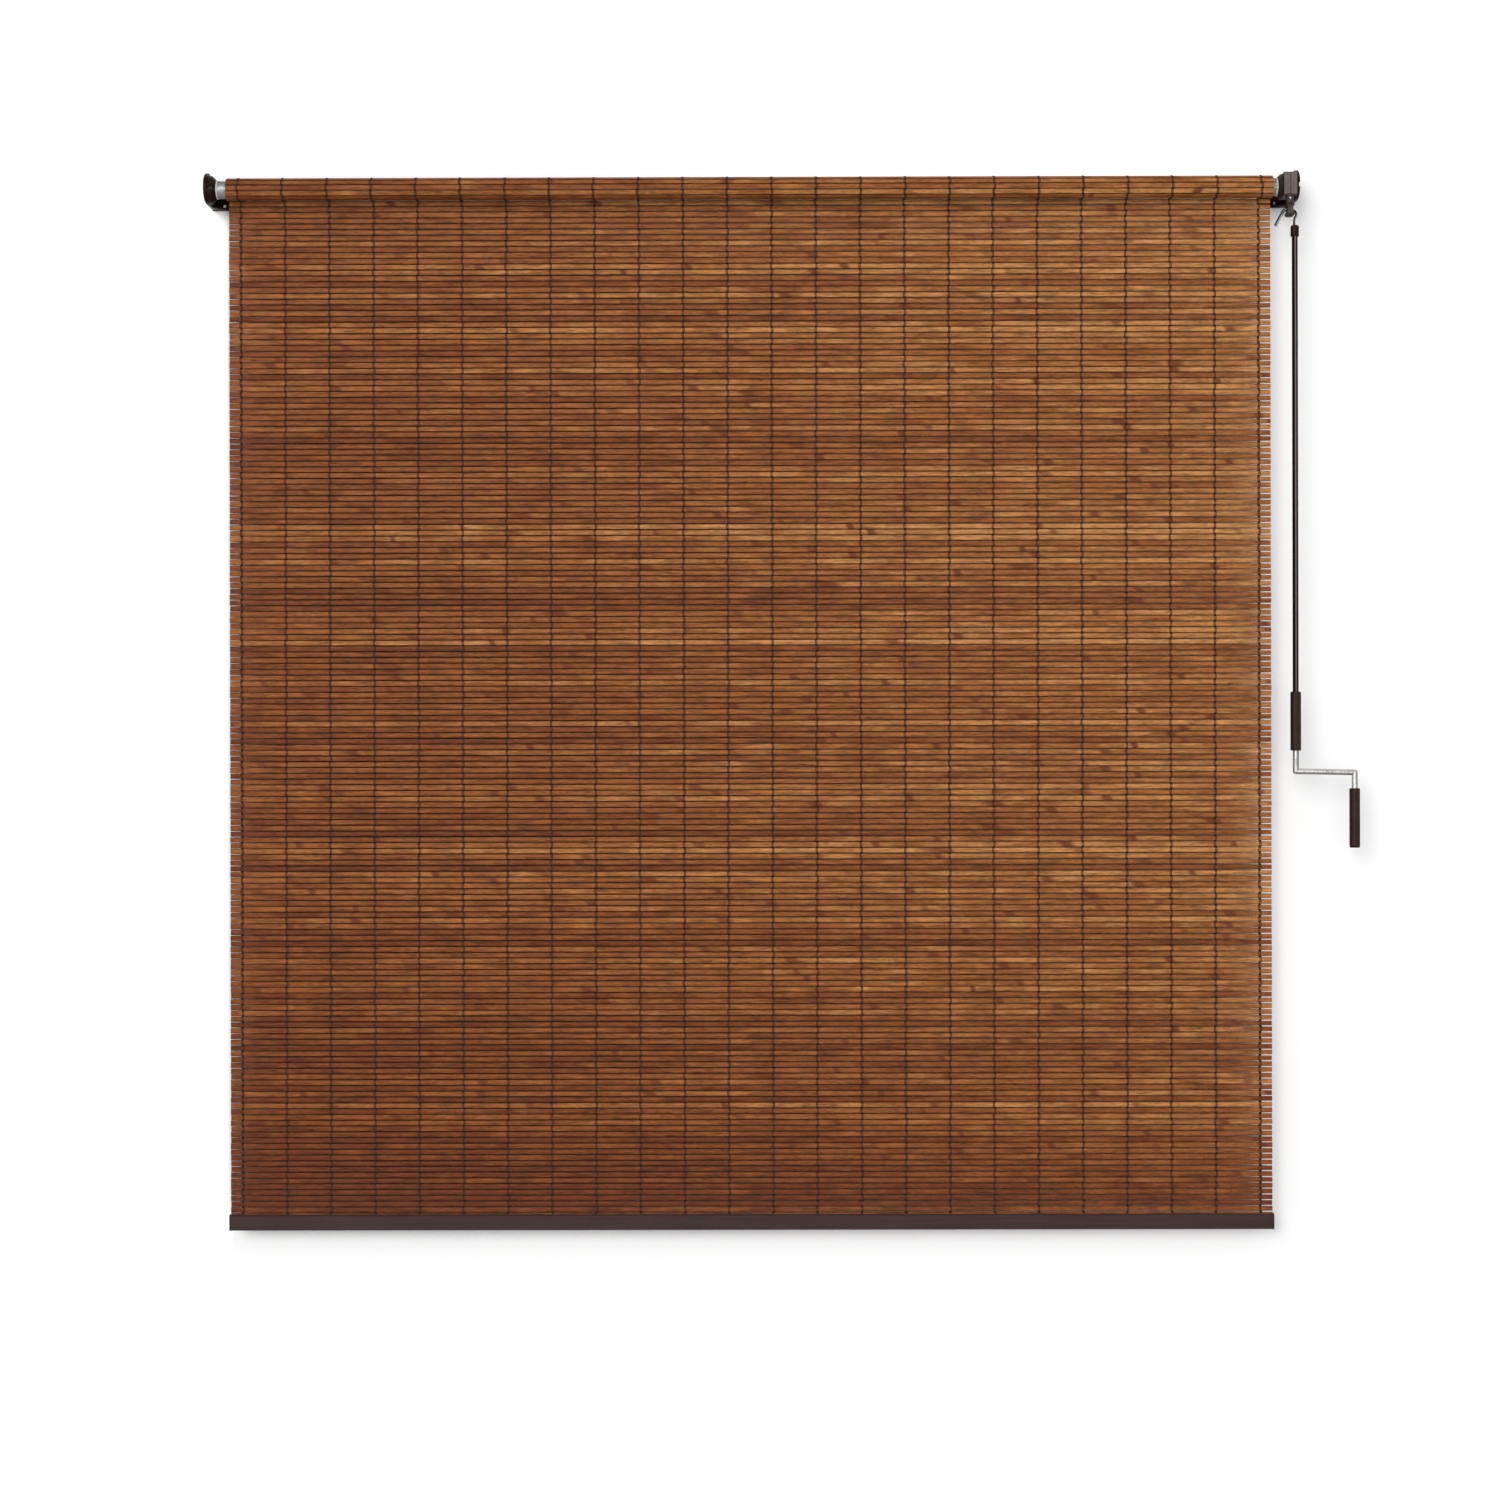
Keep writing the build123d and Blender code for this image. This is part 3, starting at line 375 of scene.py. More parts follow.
class StainedBamboo(Finish):
    """Bamboo split into slats and stained brown, each slat with its own tone."""

    name = "stained_bamboo"
    tones = [
        (0.0, (0.118, 0.029, 0.008)),
        (0.3, (0.182, 0.053, 0.013)),
        (0.6, (0.246, 0.084, 0.021)),
        (1.0, (0.400, 0.178, 0.056)),
    ]
    row_step = 173.0
    cloud = Grain(9.5, 0.0, 4.0)
    streak = Grain(24.0, 1.1, 3.0)
    fibre = Grain(95.0, 2.4, 2.0)
    gloss = Grain(1.0, 0.0043, 2.0, 0.5, 60.0)
    uneven = Grain(4.0, 0.0, 1.0, 0.5)
    drift = 1.35
    lighter_rightward = 0.24
    streak_share = 0.55
    light: Span = (0.34, 1.80)
    edge_from = 0.72
    edge_dark = 0.30
    cane_length = 0.33
    cane_stray = 0.9
    cane_step = 3.7
    cane_lean = 0.008
    ring_edge: Span = (0.014, 0.036)
    ring_shown: Span = (0.2, 0.7)
    ring_tone: Colour = (0.130, 0.030, 0.008)
    ring_strength = 0.9
    ring_height = 0.5
    rough = (0.42, 0.62)
    specular = 0.12
    relief = (0.35, 0.4 * MM)

    def draw(self) -> None:
        """Draw tone, fibres, culm rings and darker long edges along each slat: partly stain, partly
        painted shade toward the gaps.
        """
        graph = self.graph
        drift = graph.times(graph.centred(self.layer(self.cloud)), self.drift)
        # Lighter towards the mat's right end.
        drift = graph.add(drift, graph.times(self.attribute("along"), self.lighter_rightward))
        colour = self.ramp(graph.add(self.attribute("tone"), drift), self.tones)
        grain = graph.blend(self.layer(self.streak), self.layer(self.fibre), self.streak_share)
        light = graph.spread(grain, *self.noise_range, *self.light)
        colour = self.mix(1.0, colour, graph.grey(light), "MULTIPLY")
        rings = self.rings()
        colour = self.mix(graph.times(rings, self.ring_strength), colour, self.ring_tone)
        # Darker along the long edges: partly stain, partly painted shade toward the gaps between
        # slats.
        from_middle = graph.math("ABSOLUTE", self.attribute("across"))
        rim = graph.spread(from_middle, self.edge_from, 1.0, 1.0, self.edge_dark)
        colour = self.mix(1.0, colour, graph.grey(rim), "MULTIPLY")
        height = graph.add(grain, graph.times(rings, self.ring_height))
        self.coat(colour, self.layer(self.gloss), height)

    def row(self) -> Socket:
        """Give a number that sets a slat's pattern apart from every other's."""
        return self.graph.times(self.attribute("seed"), self.row_step)

    def layer(self, grain: Grain) -> Socket:
        """Give one layer of the pattern.

        Args:
            grain: the layer.

        Returns:
            The number's socket.
        """
        along = self.graph.times(self.attribute("along"), grain.along)
        across = self.graph.times(self.attribute("across"), grain.across)
        at = self.graph.vector(along, across, self.row())
        return self.graph.noise(at, grain.scale, grain.detail, grain.rough)

    def rings(self) -> Socket:
        """Find the bands where the cane had its rings.

        Returns:
            How strong the ring is, from 0 to 1.
        """
        graph = self.graph
        row = self.row()
        cane = graph.add(
            graph.math("DIVIDE", self.attribute("along"), self.cane_length),
            graph.times(self.layer(self.uneven), self.cane_stray),
            graph.times(row, self.cane_step),
        )
        lean = graph.times(self.attribute("across"), self.cane_lean)
        place = graph.math("FRACT", graph.add(cane, lean))
        away = graph.math("ABSOLUTE", graph.centred(place))
        ring = graph.spread(away, *self.ring_edge, 1.0, 0.0)
        at = graph.vector(graph.math("FLOOR", cane), row)
        shown = graph.out("ShaderNodeTexWhiteNoise", {"Vector": at}, "Value")
        return graph.times(ring, graph.spread(shown, *self.ring_shown))


class WovenCord(Finish):
    """Dark brown cord, twisted of two strands."""

    name = "woven_cord"
    dark: Colour = (0.042, 0.018, 0.010)
    light: Colour = (0.118, 0.055, 0.032)
    painted_gap_shade: Colour = (0.004, 0.002, 0.0015)
    lay_rate = 420.0
    lay_share = 0.35
    fuzz = (1900.0, 2.0)
    light_range: Span = (0.2, 0.9)
    rough = (0.8, 0.95)
    specular = 0.1
    relief = (0.6, 0.3 * MM)

    def draw(self) -> None:
        """Draw the twist as slanted bands, with fuzz between, and painted shade where the cord lies in
        the gaps.
        """
        graph = self.graph
        turns = graph.times(self.attribute("along"), self.lay_rate)
        twist = graph.add(turns, self.attribute("around"))
        lay = graph.math("SINE", graph.times(twist, 2.0 * math.pi))
        fuzz = graph.noise(self.place(), *self.fuzz)
        height = graph.add(graph.times(lay, self.lay_share), fuzz)
        colour = self.mix(graph.spread(height, *self.light_range), self.dark, self.light)
        # Painted shade: the cord goes near black where it lies in the gaps.
        self.coat(self.mix(self.attribute("painted_gap_shade"), colour, self.painted_gap_shade), fuzz, height)


class Metal(Finish):
    """Bare or plated metal with fine drawing marks along one axis, a painted highlight and painted
    shade set by the piece's own normals.
    """

    colour: Colour
    worn: Colour
    painted_side_shade: Colour
    stretch: Triple = (1.0, 1.0, 1.0)
    painted_light_range: Span = (0.25, 0.7)
    marks = (900.0, 3.0)
    mark_share = 0.6
    patches = (45.0, 3.0)
    worn_range: Span = (0.35, 0.65)
    rough = (0.25, 0.42)
    relief = (0.12, 0.1 * MM)

    def draw(self) -> None:
        """Draw the drawing marks and the worn patches, with painted highlight and painted shade by the
        piece's normals.
        """
        graph = self.graph
        marks = graph.noise(self.place(self.stretch), *self.marks)
        tone = graph.blend(marks, graph.noise(self.place(), *self.patches), self.mark_share)
        colour = self.mix(graph.spread(tone, *self.worn_range), self.colour, self.worn)
        # Painted light: the colour drops to painted shade away from the painted highlight.
        self.coat(self.mix(self.painted_highlight(), self.painted_side_shade, colour), tone, marks)
        self.give("Metallic", 1.0)

    def painted_highlight(self) -> Socket:
        """Say where the metal gets its painted highlight, from 0 to 1: its broad front and back."""
        return self.broad(*self.painted_light_range)


class Galvanised(Metal):
    """Zinc-coated tube."""

    name = "galvanised"
    colour = (0.36, 0.36, 0.355)
    worn = (0.12, 0.12, 0.12)
    painted_side_shade = (0.16, 0.16, 0.16)
    stretch = (0.12, 1.0, 1.0)
    rough = (0.48, 0.62)


class BrightSteel(Metal):
    """Zinc-plated bar and wire."""

    name = "bright_steel"
    colour = (0.66, 0.65, 0.64)
    worn = (0.24, 0.235, 0.23)
    painted_side_shade = (0.060, 0.055, 0.056)
    painted_light_range = (-0.3, 0.45)
    # The painted highlight is on the side that faces this way; the other side gets painted shade.
    way: Triple = (-0.75, -0.5, 0.43)
    stretch = (1.0, 1.0, 0.06)
    rough = (0.16, 0.34)

    def painted_highlight(self) -> Socket:
        """Tell the side that faces one way from the other, by the piece's own normals: the first gets
        a painted highlight, the other painted shade.

        Returns:
            A number from 0 on the painted-shade side to 1 on the painted-highlight side.
        """
        terms = {0: self.graph.out("ShaderNodeTexCoord", take="Normal"), 1: self.way}
        share = self.graph.out("ShaderNodeVectorMath", terms, "Value", operation="DOT_PRODUCT")
        return self.graph.spread(share, *self.painted_light_range)


class HookWire(BrightSteel):
    """Plated wire of the hook, with a painted highlight on one side and painted shade on the other."""

    name = "hook_wire"
    colour = (0.86, 0.85, 0.84)
    worn = (0.62, 0.61, 0.60)
    painted_side_shade = (0.012, 0.009, 0.008)
    painted_light_range = (0.32, 0.85)
    way = (0.80, -0.45, 0.40)


class Brass(Metal):
    """Turned brass."""

    name = "bush_brass"
    colour = (0.72, 0.53, 0.25)
    worn = (0.58, 0.40, 0.17)
    painted_side_shade = (0.40, 0.26, 0.10)


class Moulded(Finish):
    """Moulded plastic with a fine spark-eroded skin."""

    colour: Colour
    rubbed: Colour
    skin = (2400.0, 2.0)
    rub = (70.0, 4.0, 0.6)
    rub_range: Span = (0.4, 0.7)
    rough = (0.38, 0.55)
    specular = 0.2
    relief = (0.18, 0.1 * MM)

    def draw(self) -> None:
        """Draw the skin's grain and its rubbed patches."""
        rub = self.graph.noise(self.place(), *self.rub)
        colour = self.tint(self.graph.spread(rub, *self.rub_range))
        self.coat(colour, rub, self.graph.noise(self.place(), *self.skin))

    def tint(self, rub: Socket) -> Socket:
        """Give the plastic's colour, by how much it is rubbed."""
        return self.mix(rub, self.colour, self.rubbed)


class DarkPlastic(Moulded):
    """Brown plastic of the grips, with painted shade on the sides."""

    name = "dark_plastic"
    colour = (0.024, 0.010, 0.007)
    rubbed = (0.036, 0.018, 0.013)
    sides: Colour = (0.006, 0.003, 0.002)
    painted_light_range: Span = (0.35, 0.85)
    specular = 0.12

    def tint(self, rub: Socket) -> Socket:
        """Give the plastic's colour, with painted shade on the sides."""
        return self.mix(self.broad(*self.painted_light_range), self.sides, super().tint(rub))


class EyePlastic(DarkPlastic):
    """Worn brown plastic of the eye."""

    name = "eye_plastic"
    colour = (0.050, 0.034, 0.028)
    rubbed = (0.090, 0.068, 0.060)


class BracketPlastic(Moulded):
    """Deep brown plastic of the brackets and the ferrule, with more gloss."""

    name = "bracket_plastic"
    colour = (0.012, 0.005, 0.004)
    rubbed = (0.026, 0.013, 0.010)
    rough = (0.20, 0.34)
    specular = 0.05


class CasePlastic(Moulded):
    """Paler brown plastic of the gear case."""

    name = "case_plastic"
    colour = (0.112, 0.080, 0.072)
    rubbed = (0.150, 0.116, 0.108)
    deep: Colour = (0.014, 0.007, 0.005)
    painted_light_range: Span = (0.3, 0.9)
    box_from = 915.0 * MM
    seam_at = 926.0 * MM
    seam_half = 0.5 * MM
    seam_pale = 0.2

    def tint(self, rub: Socket) -> Socket:
        """Give the plastic's colour: deep on the flange and in the seam, paler on the box's broad
        front and back, with painted shade on the box's sides.

        Args:
            rub: how much it is rubbed, from 0 to 1.

        Returns:
            The colour's socket.
        """
        graph = self.graph
        along, _, _ = graph.apart(graph.out("ShaderNodeTexCoord", take="Object"))
        on_box = graph.math("GREATER_THAN", along, self.box_from)
        from_seam = graph.math("ABSOLUTE", graph.less(along, self.seam_at))
        beside = graph.spread(from_seam, self.seam_half, 2 * self.seam_half, self.seam_pale, 1.0)
        # The box is paler only on its front and back; on its sides the deep tone is painted shade.
        pale = graph.times(on_box, graph.times(beside, self.broad(*self.painted_light_range)))
        return self.mix(pale, self.deep, super().tint(rub))


class BlackPlastic(Moulded):
    """Darker plastic of the small blocks and caps."""

    name = "black_plastic"
    colour = (0.016, 0.010, 0.008)
    rubbed = (0.028, 0.019, 0.016)


class GreyPlastic(Moulded):
    """Grey plastic of the tube's plugs."""

    name = "grey_plastic"
    colour = (0.46, 0.46, 0.46)
    rubbed = (0.54, 0.54, 0.54)


class GearPlastic(Moulded):
    """Off-white plastic of the wheel."""

    name = "gear_plastic"
    colour = (0.78, 0.77, 0.71)
    rubbed = (0.70, 0.68, 0.60)
    rough = (0.30, 0.45)


class Powder(Finish):
    """Powder coat: a smooth paint with a faint ripple, painted shade on a bar's sides and a painted
    highlight on its front and back.
    """

    colour: Colour
    faded: Colour
    sides: Colour = (0.02, 0.01, 0.008)
    stretch: Triple
    painted_light_range: Span = (0.35, 0.9)
    streaks = (220.0, 3.0)
    streak_range: Span = (0.35, 0.7)
    peel = (700.0, 1.0)
    specular = 0.2
    relief = (0.08, 0.2 * MM)

    def draw(self) -> None:
        """Draw the paint's ripple and its faded streaks, with painted shade on the sides."""
        streak = self.graph.noise(self.place(self.stretch), *self.streaks)
        colour = self.mix(self.graph.spread(streak, *self.streak_range), self.colour, self.faded)
        # Painted shade on the sides; the front and back keep the lit colour as a painted highlight.
        colour = self.mix(self.broad(*self.painted_light_range), self.sides, colour)
        self.coat(colour, streak, self.graph.noise(self.place(), *self.peel))


class RodPaint(Powder):
    """Brown gloss of the crank's rod, with a narrow painted highlight down its front and back and
    painted shade on the rest.
    """

    name = "rod_paint"
    colour = (0.128, 0.098, 0.090)
    faded = (0.190, 0.154, 0.144)
    sides = (0.003, 0.001, 0.001)
    painted_light_range = (0.94, 0.998)
    stretch = (1.0, 1.0, 0.01)
    rough = (0.20, 0.30)
    specular = 0.03


class RailPaint(Powder):
    """Brown satin of the bottom rail, with painted shade where it doesn't face front or back."""

    name = "rail_paint"
    colour = (0.030, 0.013, 0.010)
    faded = (0.046, 0.024, 0.021)
    stretch = (0.03, 1.0, 1.0)
    rough = (0.36, 0.50)


class Matt(Finish):
    """Matt pale paint of the room."""

    tone: Colour

    def draw(self) -> None:
        """Set one tone all over."""
        self.give("Base Color", self.full(self.tone))
        self.give("Roughness", 1.0)
        self.give("Specular IOR Level", 0.0)


class PaleFloor(Matt):
    """The floor's paint."""

    name = "pale_floor"
    tone = (0.90, 0.90, 0.895)


class WhiteWall(Matt):
    """The wall's paint, seen from the front alone, which lets light through to the blind's back."""

    name = "white_wall"
    tone = (0.955, 0.955, 0.955)
    shade_reach = 0.25
    shade_tilt = 0.12
    shade_range: Span = (0.2, 0.36)
    shade_deep = 0.05
    shade_samples = 4
    band_at = -16 * MM
    band_edge: Span = (12 * MM, 30 * MM)
    band_half: Span = (865 * MM, 885 * MM)
    band_deep = 0.12
    painted_glow_lift = 0.22
    above_from: Span = (-8 * MM, 8 * MM)
    above_step: Span = (880 * MM, 965 * MM)
    above_rise = 30 * MM
    left_from: Span = (-916 * MM, -904 * MM)
    left_fade: Span = (-2300 * MM, -1850 * MM)
    end_lift = 0.18
    end_rise: Span = (868 * MM, 894 * MM)
    end_fall: Span = (903 * MM, 916 * MM)
    end_foot: Span = (-1790 * MM, -1770 * MM)
    under_lift = 0.12
    under_from: Span = (-1910 * MM, -1835 * MM)

    def draw(self) -> None:
        """Draw the painted shade behind the mat, the painted glow that keeps it white round the mat
        and the way through for light.
        """
        super().draw()
        graph = self.graph
        x, _, z = graph.apart(graph.out("ShaderNodeTexCoord", take="Object"))
        self.give("Base Color", graph.grey(self.dimmed(x, z)))
        self.give("Emission Color", (1.0, 1.0, 1.0, 1.0))
        self.give("Emission Strength", self.painted_glow(x, z))
        behind = graph.out("ShaderNodeNewGeometry", take="Backfacing")
        through = graph.most(behind, graph.less(1.0, graph.seen()))
        clear = graph.out("ShaderNodeBsdfTransparent")
        terms = {0: through, 1: self.shader.outputs[0], 2: clear}
        surface = self.material.node_tree.nodes["Material Output"].inputs["Surface"]
        graph.feed(surface, graph.out("ShaderNodeMixShader", terms))

    def dimmed(self, x: Socket, z: Socket) -> Socket:
        """Paint shade on the wall where the mat and the roll keep the light off it, deeper towards the
        left and in a band behind the roll.

        Args:
            x: the place along the wall.
            z: the place up the wall.

        Returns:
            The wall's tone.
        """
        graph = self.graph
        reach = {"Distance": self.shade_reach}
        sky = graph.out("ShaderNodeAmbientOcclusion", reach, "AO", samples=self.shade_samples)
        # Painted shade deepens towards the left.
        sky = graph.add(sky, graph.times(x, self.shade_tilt))
        # A painted band of shade behind the roll.
        from_band = graph.math("ABSOLUTE", graph.less(z, self.band_at))
        at_top = graph.spread(from_band, *self.band_edge, self.band_deep, 0.0)
        inside = graph.spread(graph.math("ABSOLUTE", x), *self.band_half, 1.0, 0.0)
        sky = graph.less(sky, graph.times(at_top, inside))
        return graph.spread(sky, *self.shade_range, self.shade_deep, self.tone[0])

    def painted_glow(self, x: Socket, z: Socket) -> Socket:
        """Paint a glow on the wall, seen by the lens alone, that whitens it above the roll, left of
        the mat, under the rail and between the slats' right ends.

        Args:
            x: the place along the wall.
            z: the place up the wall.

        Returns:
            How much white is added.
        """
        graph = self.graph
        level = graph.less(z, graph.spread(x, *self.above_step, 0.0, self.above_rise))
        above = graph.spread(level, *self.above_from, 0.0, self.painted_glow_lift)
        left = graph.spread(x, *self.left_from, self.painted_glow_lift, 0.0)
        left = graph.times(left, graph.spread(z, *self.left_fade))
        end = graph.times(
            graph.spread(x, *self.end_rise, 0.0, self.end_lift),
            graph.spread(x, *self.end_fall, 1.0, 0.0),
            graph.spread(z, *self.above_from, 1.0, 0.0),
            graph.spread(z, *self.end_foot),
        )
        under = graph.spread(z, *self.under_from, self.under_lift, 0.0)
        # Painted light: this glow is seen by the lens alone.
        lens = graph.out("ShaderNodeLightPath", take="Is Camera Ray")
        return graph.times(graph.most(above, left, end, under), lens)


# The mat


@dataclass(frozen=True)
class MatSizes:
    """The mat's sizes, in metres, as the solids have them."""

    width: float = 1800 * MM
    pitch: float = 10 * MM
    face: float = 8.6 * MM
    thick: float = 2.4 * MM
    round_off: float = 0.75 * MM
    count: int = 178
    columns: int = 24
    margin: float = 20.8 * MM
    pair: float = 2.3 * MM
    axis_y: float = -58 * MM
    outer: float = 19.9 * MM
    turn_drop: float = 2.6 * MM
    tube: float = 15.05 * MM
    turn_slats: int = 12
    rise: float = 1690 * MM

    @property
    def top(self) -> float:
        """Upper end of the hanging slats."""
        return self.face / 2 - self.pitch

    @property
    def spacing(self) -> float:
        """Distance between cord columns."""
        return (self.width - 2 * self.margin) / (self.columns - 1)

    @property
    def keep(self) -> float:
        """Share of the drop that is left when the rail is up."""
        drop = self.pitch * (self.count - 1) + self.face
        return 1 - self.rise / drop


@dataclass(frozen=True)
class Course:
    """The way that slats and cords take: straight down, or round the tube."""

    reach: float
    pitch: float = 0.0
    turn: float = 0.0
    drop: float = 0.0

    @classmethod
    def down(cls, sizes: MatSizes, reach: float) -> "Course":
        """Give the way down, so far behind the tube's axis."""
        return cls(reach, pitch=sizes.pitch)

    @classmethod
    def round(cls, sizes: MatSizes, reach: float, drop: float = 0.0) -> "Course":
        """Give the way round the tube, from so far out, and so much nearer it after one turn."""
        return cls(reach, turn=2 * math.pi / sizes.turn_slats, drop=drop / sizes.turn_slats)

    def inputs(self) -> dict[str, float]:
        """Give the course as a tree's inputs."""
        return {"Pitch": self.pitch, "Turn": self.turn, "Reach": self.reach, "Drop": self.drop}

    @staticmethod
    def spot(graph: ShapeGraph, x: Any, at: Socket, lift: Any, axis: float) -> Socket:
        """Place a point on the course that the tree was given.

        Args:
            graph: the tree.
            x: the place along the slats.
            at: how many slats from the start.
            lift: how far out from the course.
            axis: where the tube's axis is along Y.

        Returns:
            The point's socket.
        """
        given = graph.given
        angle = graph.times(at, given["Turn"])
        reach = graph.add(graph.less(given["Reach"], graph.times(at, given["Drop"])), lift)
        level = graph.times(graph.add(at, 1.0), given["Pitch"])
        y = graph.add(graph.times(reach, graph.math("COSINE", angle)), axis)
        z = graph.less(graph.times(reach, graph.math("SINE", angle)), level)
        return graph.vector(x, y, z)


@dataclass
class SlatRun:
    """A run of slats on one course."""

    name: str
    sizes: MatSizes
    material: bpy.types.Material
    count: int
    course: Course
    thick: float
    seed: int
    cuts: int = 10
    corners: int = 2
    round_share: float = 0.4
    sharp: float = 50.0
    trim: Span = (24 * MM, 20 * MM)
    slim: float = 0.92
    full: float = 1.07
    full_run: float = 200 * MM
    sway: float = 0.35 * MM
    wave: float = 1.4
    wave_step: float = 211.0
    tilt: float = 0.02
    ragged: float = 0.0008
    wide: Span = (0.97, 1.06)
    tones: Span = (0.05, 0.45)
    low_tone: float = 0.0
    low_shares: Span = (0.62, 0.95)
    painted_light_under_roll: float = 0.0
    painted_light_rows: float = 4.0
    graph: ShapeGraph = field(init=False)

    def build(self) -> bpy.types.Object:
        """Make the slats.

        Returns:
            The piece, with each slat's tone and number kept on it.
        """
        self.graph = ShapeGraph("slats_" + self.name, {
            "Count": self.count,
            **self.course.inputs(),
            "Width": self.sizes.width,
            "Face": self.sizes.face,
            "Thick": self.thick,
            "Round": min(self.sizes.round_off, self.thick * self.round_share),
            "Material": self.material,
        })
        placed = self.place(self.row(), self.slat())
        real = self.graph.out("GeometryNodeRealizeInstances", {"Geometry": placed})
        piece = self.graph.run(self.name, self.bend(real))
        shade(piece, self.sharp)
        return piece

    def slat(self) -> Socket:
        """Make one slat along X, with rounded edges, full at its left and slim at its right end.

        Returns:
            The slat's mesh.
        """
        graph = self.graph
        face = graph.given["Face"]
        half = graph.times(graph.given["Width"], 0.5)
        left = graph.times(half, -1.0)
        ends = {"Start": graph.vector(left), "End": graph.vector(half)}
        line = graph.out("GeometryNodeCurvePrimitiveLine", ends)
        spine = graph.out("GeometryNodeResampleCurve", {"Curve": line, "Count": self.cuts})
        sides = {0: graph.given["Thick"], 1: face}
        section = graph.out("GeometryNodeCurvePrimitiveQuadrilateral", sides)
        rounding = {"Curve": section, "Radius": graph.given["Round"], "Count": self.corners}
        rounded = graph.out("GeometryNodeFilletCurve", rounding, mode="POLY")
        sweep = {"Curve": self.trimmed(spine, half), "Profile Curve": rounded, "Fill Caps": True}
        body = graph.out("GeometryNodeCurveToMesh", sweep)
        x, _, z = graph.apart(graph.out("GeometryNodeInputPosition"))
        body = graph.store(body, "along", x)
        body = graph.store(body, "across", graph.math("DIVIDE", z, graph.times(face, 0.5)))
        start, stop = (graph.less(half, inset) for inset in self.trim)
        slim = graph.spread(x, start, stop, 1.0, self.slim)
        full = graph.spread(x, left, graph.add(left, self.full_run), self.full, 1.0)
        offset = graph.times(z, graph.less(graph.times(slim, full), 1.0))
        return graph.move(body, Offset=graph.vector(z=offset))

    def trimmed(self, spine: Socket, half: Socket) -> Socket:
        """Draw two of the spine's points out to where the right end gets slimmer.

        Args:
            spine: the slat's line.
            half: half its length.

        Returns:
            The line.
        """
        graph = self.graph
        for back, inset in enumerate(reversed(self.trim), 2):
            here = graph.near(graph.index(), self.cuts - back)
            spot = graph.vector(graph.less(half, inset))
            spine = graph.move(spine, Selection=here, Position=spot)
        return spine

    def row(self) -> Socket:
        """Set a point for each slat.

        Returns:
            The points.
        """
        graph = self.graph
        points = graph.out("GeometryNodePoints", {"Count": graph.given["Count"]})
        spot = self.course.spot(graph, 0.0, graph.index(), 0.0, self.sizes.axis_y)
        return graph.move(points, Position=spot)

    def place(self, points: Socket, slat: Socket) -> Socket:
        """Put a slat on each point, with small differences between them, lower rows darker towards the
        bottom and painted light on the first rows under the roll.

        Args:
            points: the points.
            slat: the slat's mesh.

        Returns:
            The placed slats.
        """
        graph, seed = self.graph, self.seed
        number = graph.index()
        angle = graph.times(number, graph.given["Turn"])
        lean = graph.add(angle, graph.random(-self.tilt, self.tilt, seed))
        length = graph.random(1.0 - self.ragged, 1.0, seed + 1)
        placed = graph.out("GeometryNodeInstanceOnPoints", {
            "Points": points,
            "Instance": slat,
            "Rotation": graph.vector(lean),
            "Scale": graph.vector(length, 1.0, graph.random(*self.wide, seed + 2)),
        })
        placed = graph.store(placed, "seed", graph.random(0.0, 1.0, seed + 3), "INSTANCE")
        first, second = (graph.random(*self.tones, seed + draw) for draw in (4, 5))
        # Lower rows darker towards the bottom.
        start, stop = (self.count * share for share in self.low_shares)
        low = graph.spread(number, start, stop, 0.0, self.low_tone)
        # Painted light: the first rows are lightened where the roll's shade falls on them.
        high = graph.spread(number, 0.0, self.painted_light_rows, self.painted_light_under_roll, 0.0)
        return graph.store(placed, "tone", graph.add(first, second, low, high), "INSTANCE")

    def bend(self, real: Socket) -> Socket:
        """Bend each slat a little along its length.

        Args:
            real: the slats.

        Returns:
            The bent slats.
        """
        graph = self.graph
        along = graph.times(graph.read("along"), self.wave)
        at = graph.vector(along, graph.times(graph.read("seed"), self.wave_step))
        wave = graph.noise(at, scale=1.0, detail=1.0)
        offset = graph.times(graph.centred(wave), self.sway * 2)
        return graph.move(real, Offset=graph.vector(z=offset))


class Side(Enum):
    """Which face of the mat a cord lies on."""

    FRONT = -1
    BACK = 1


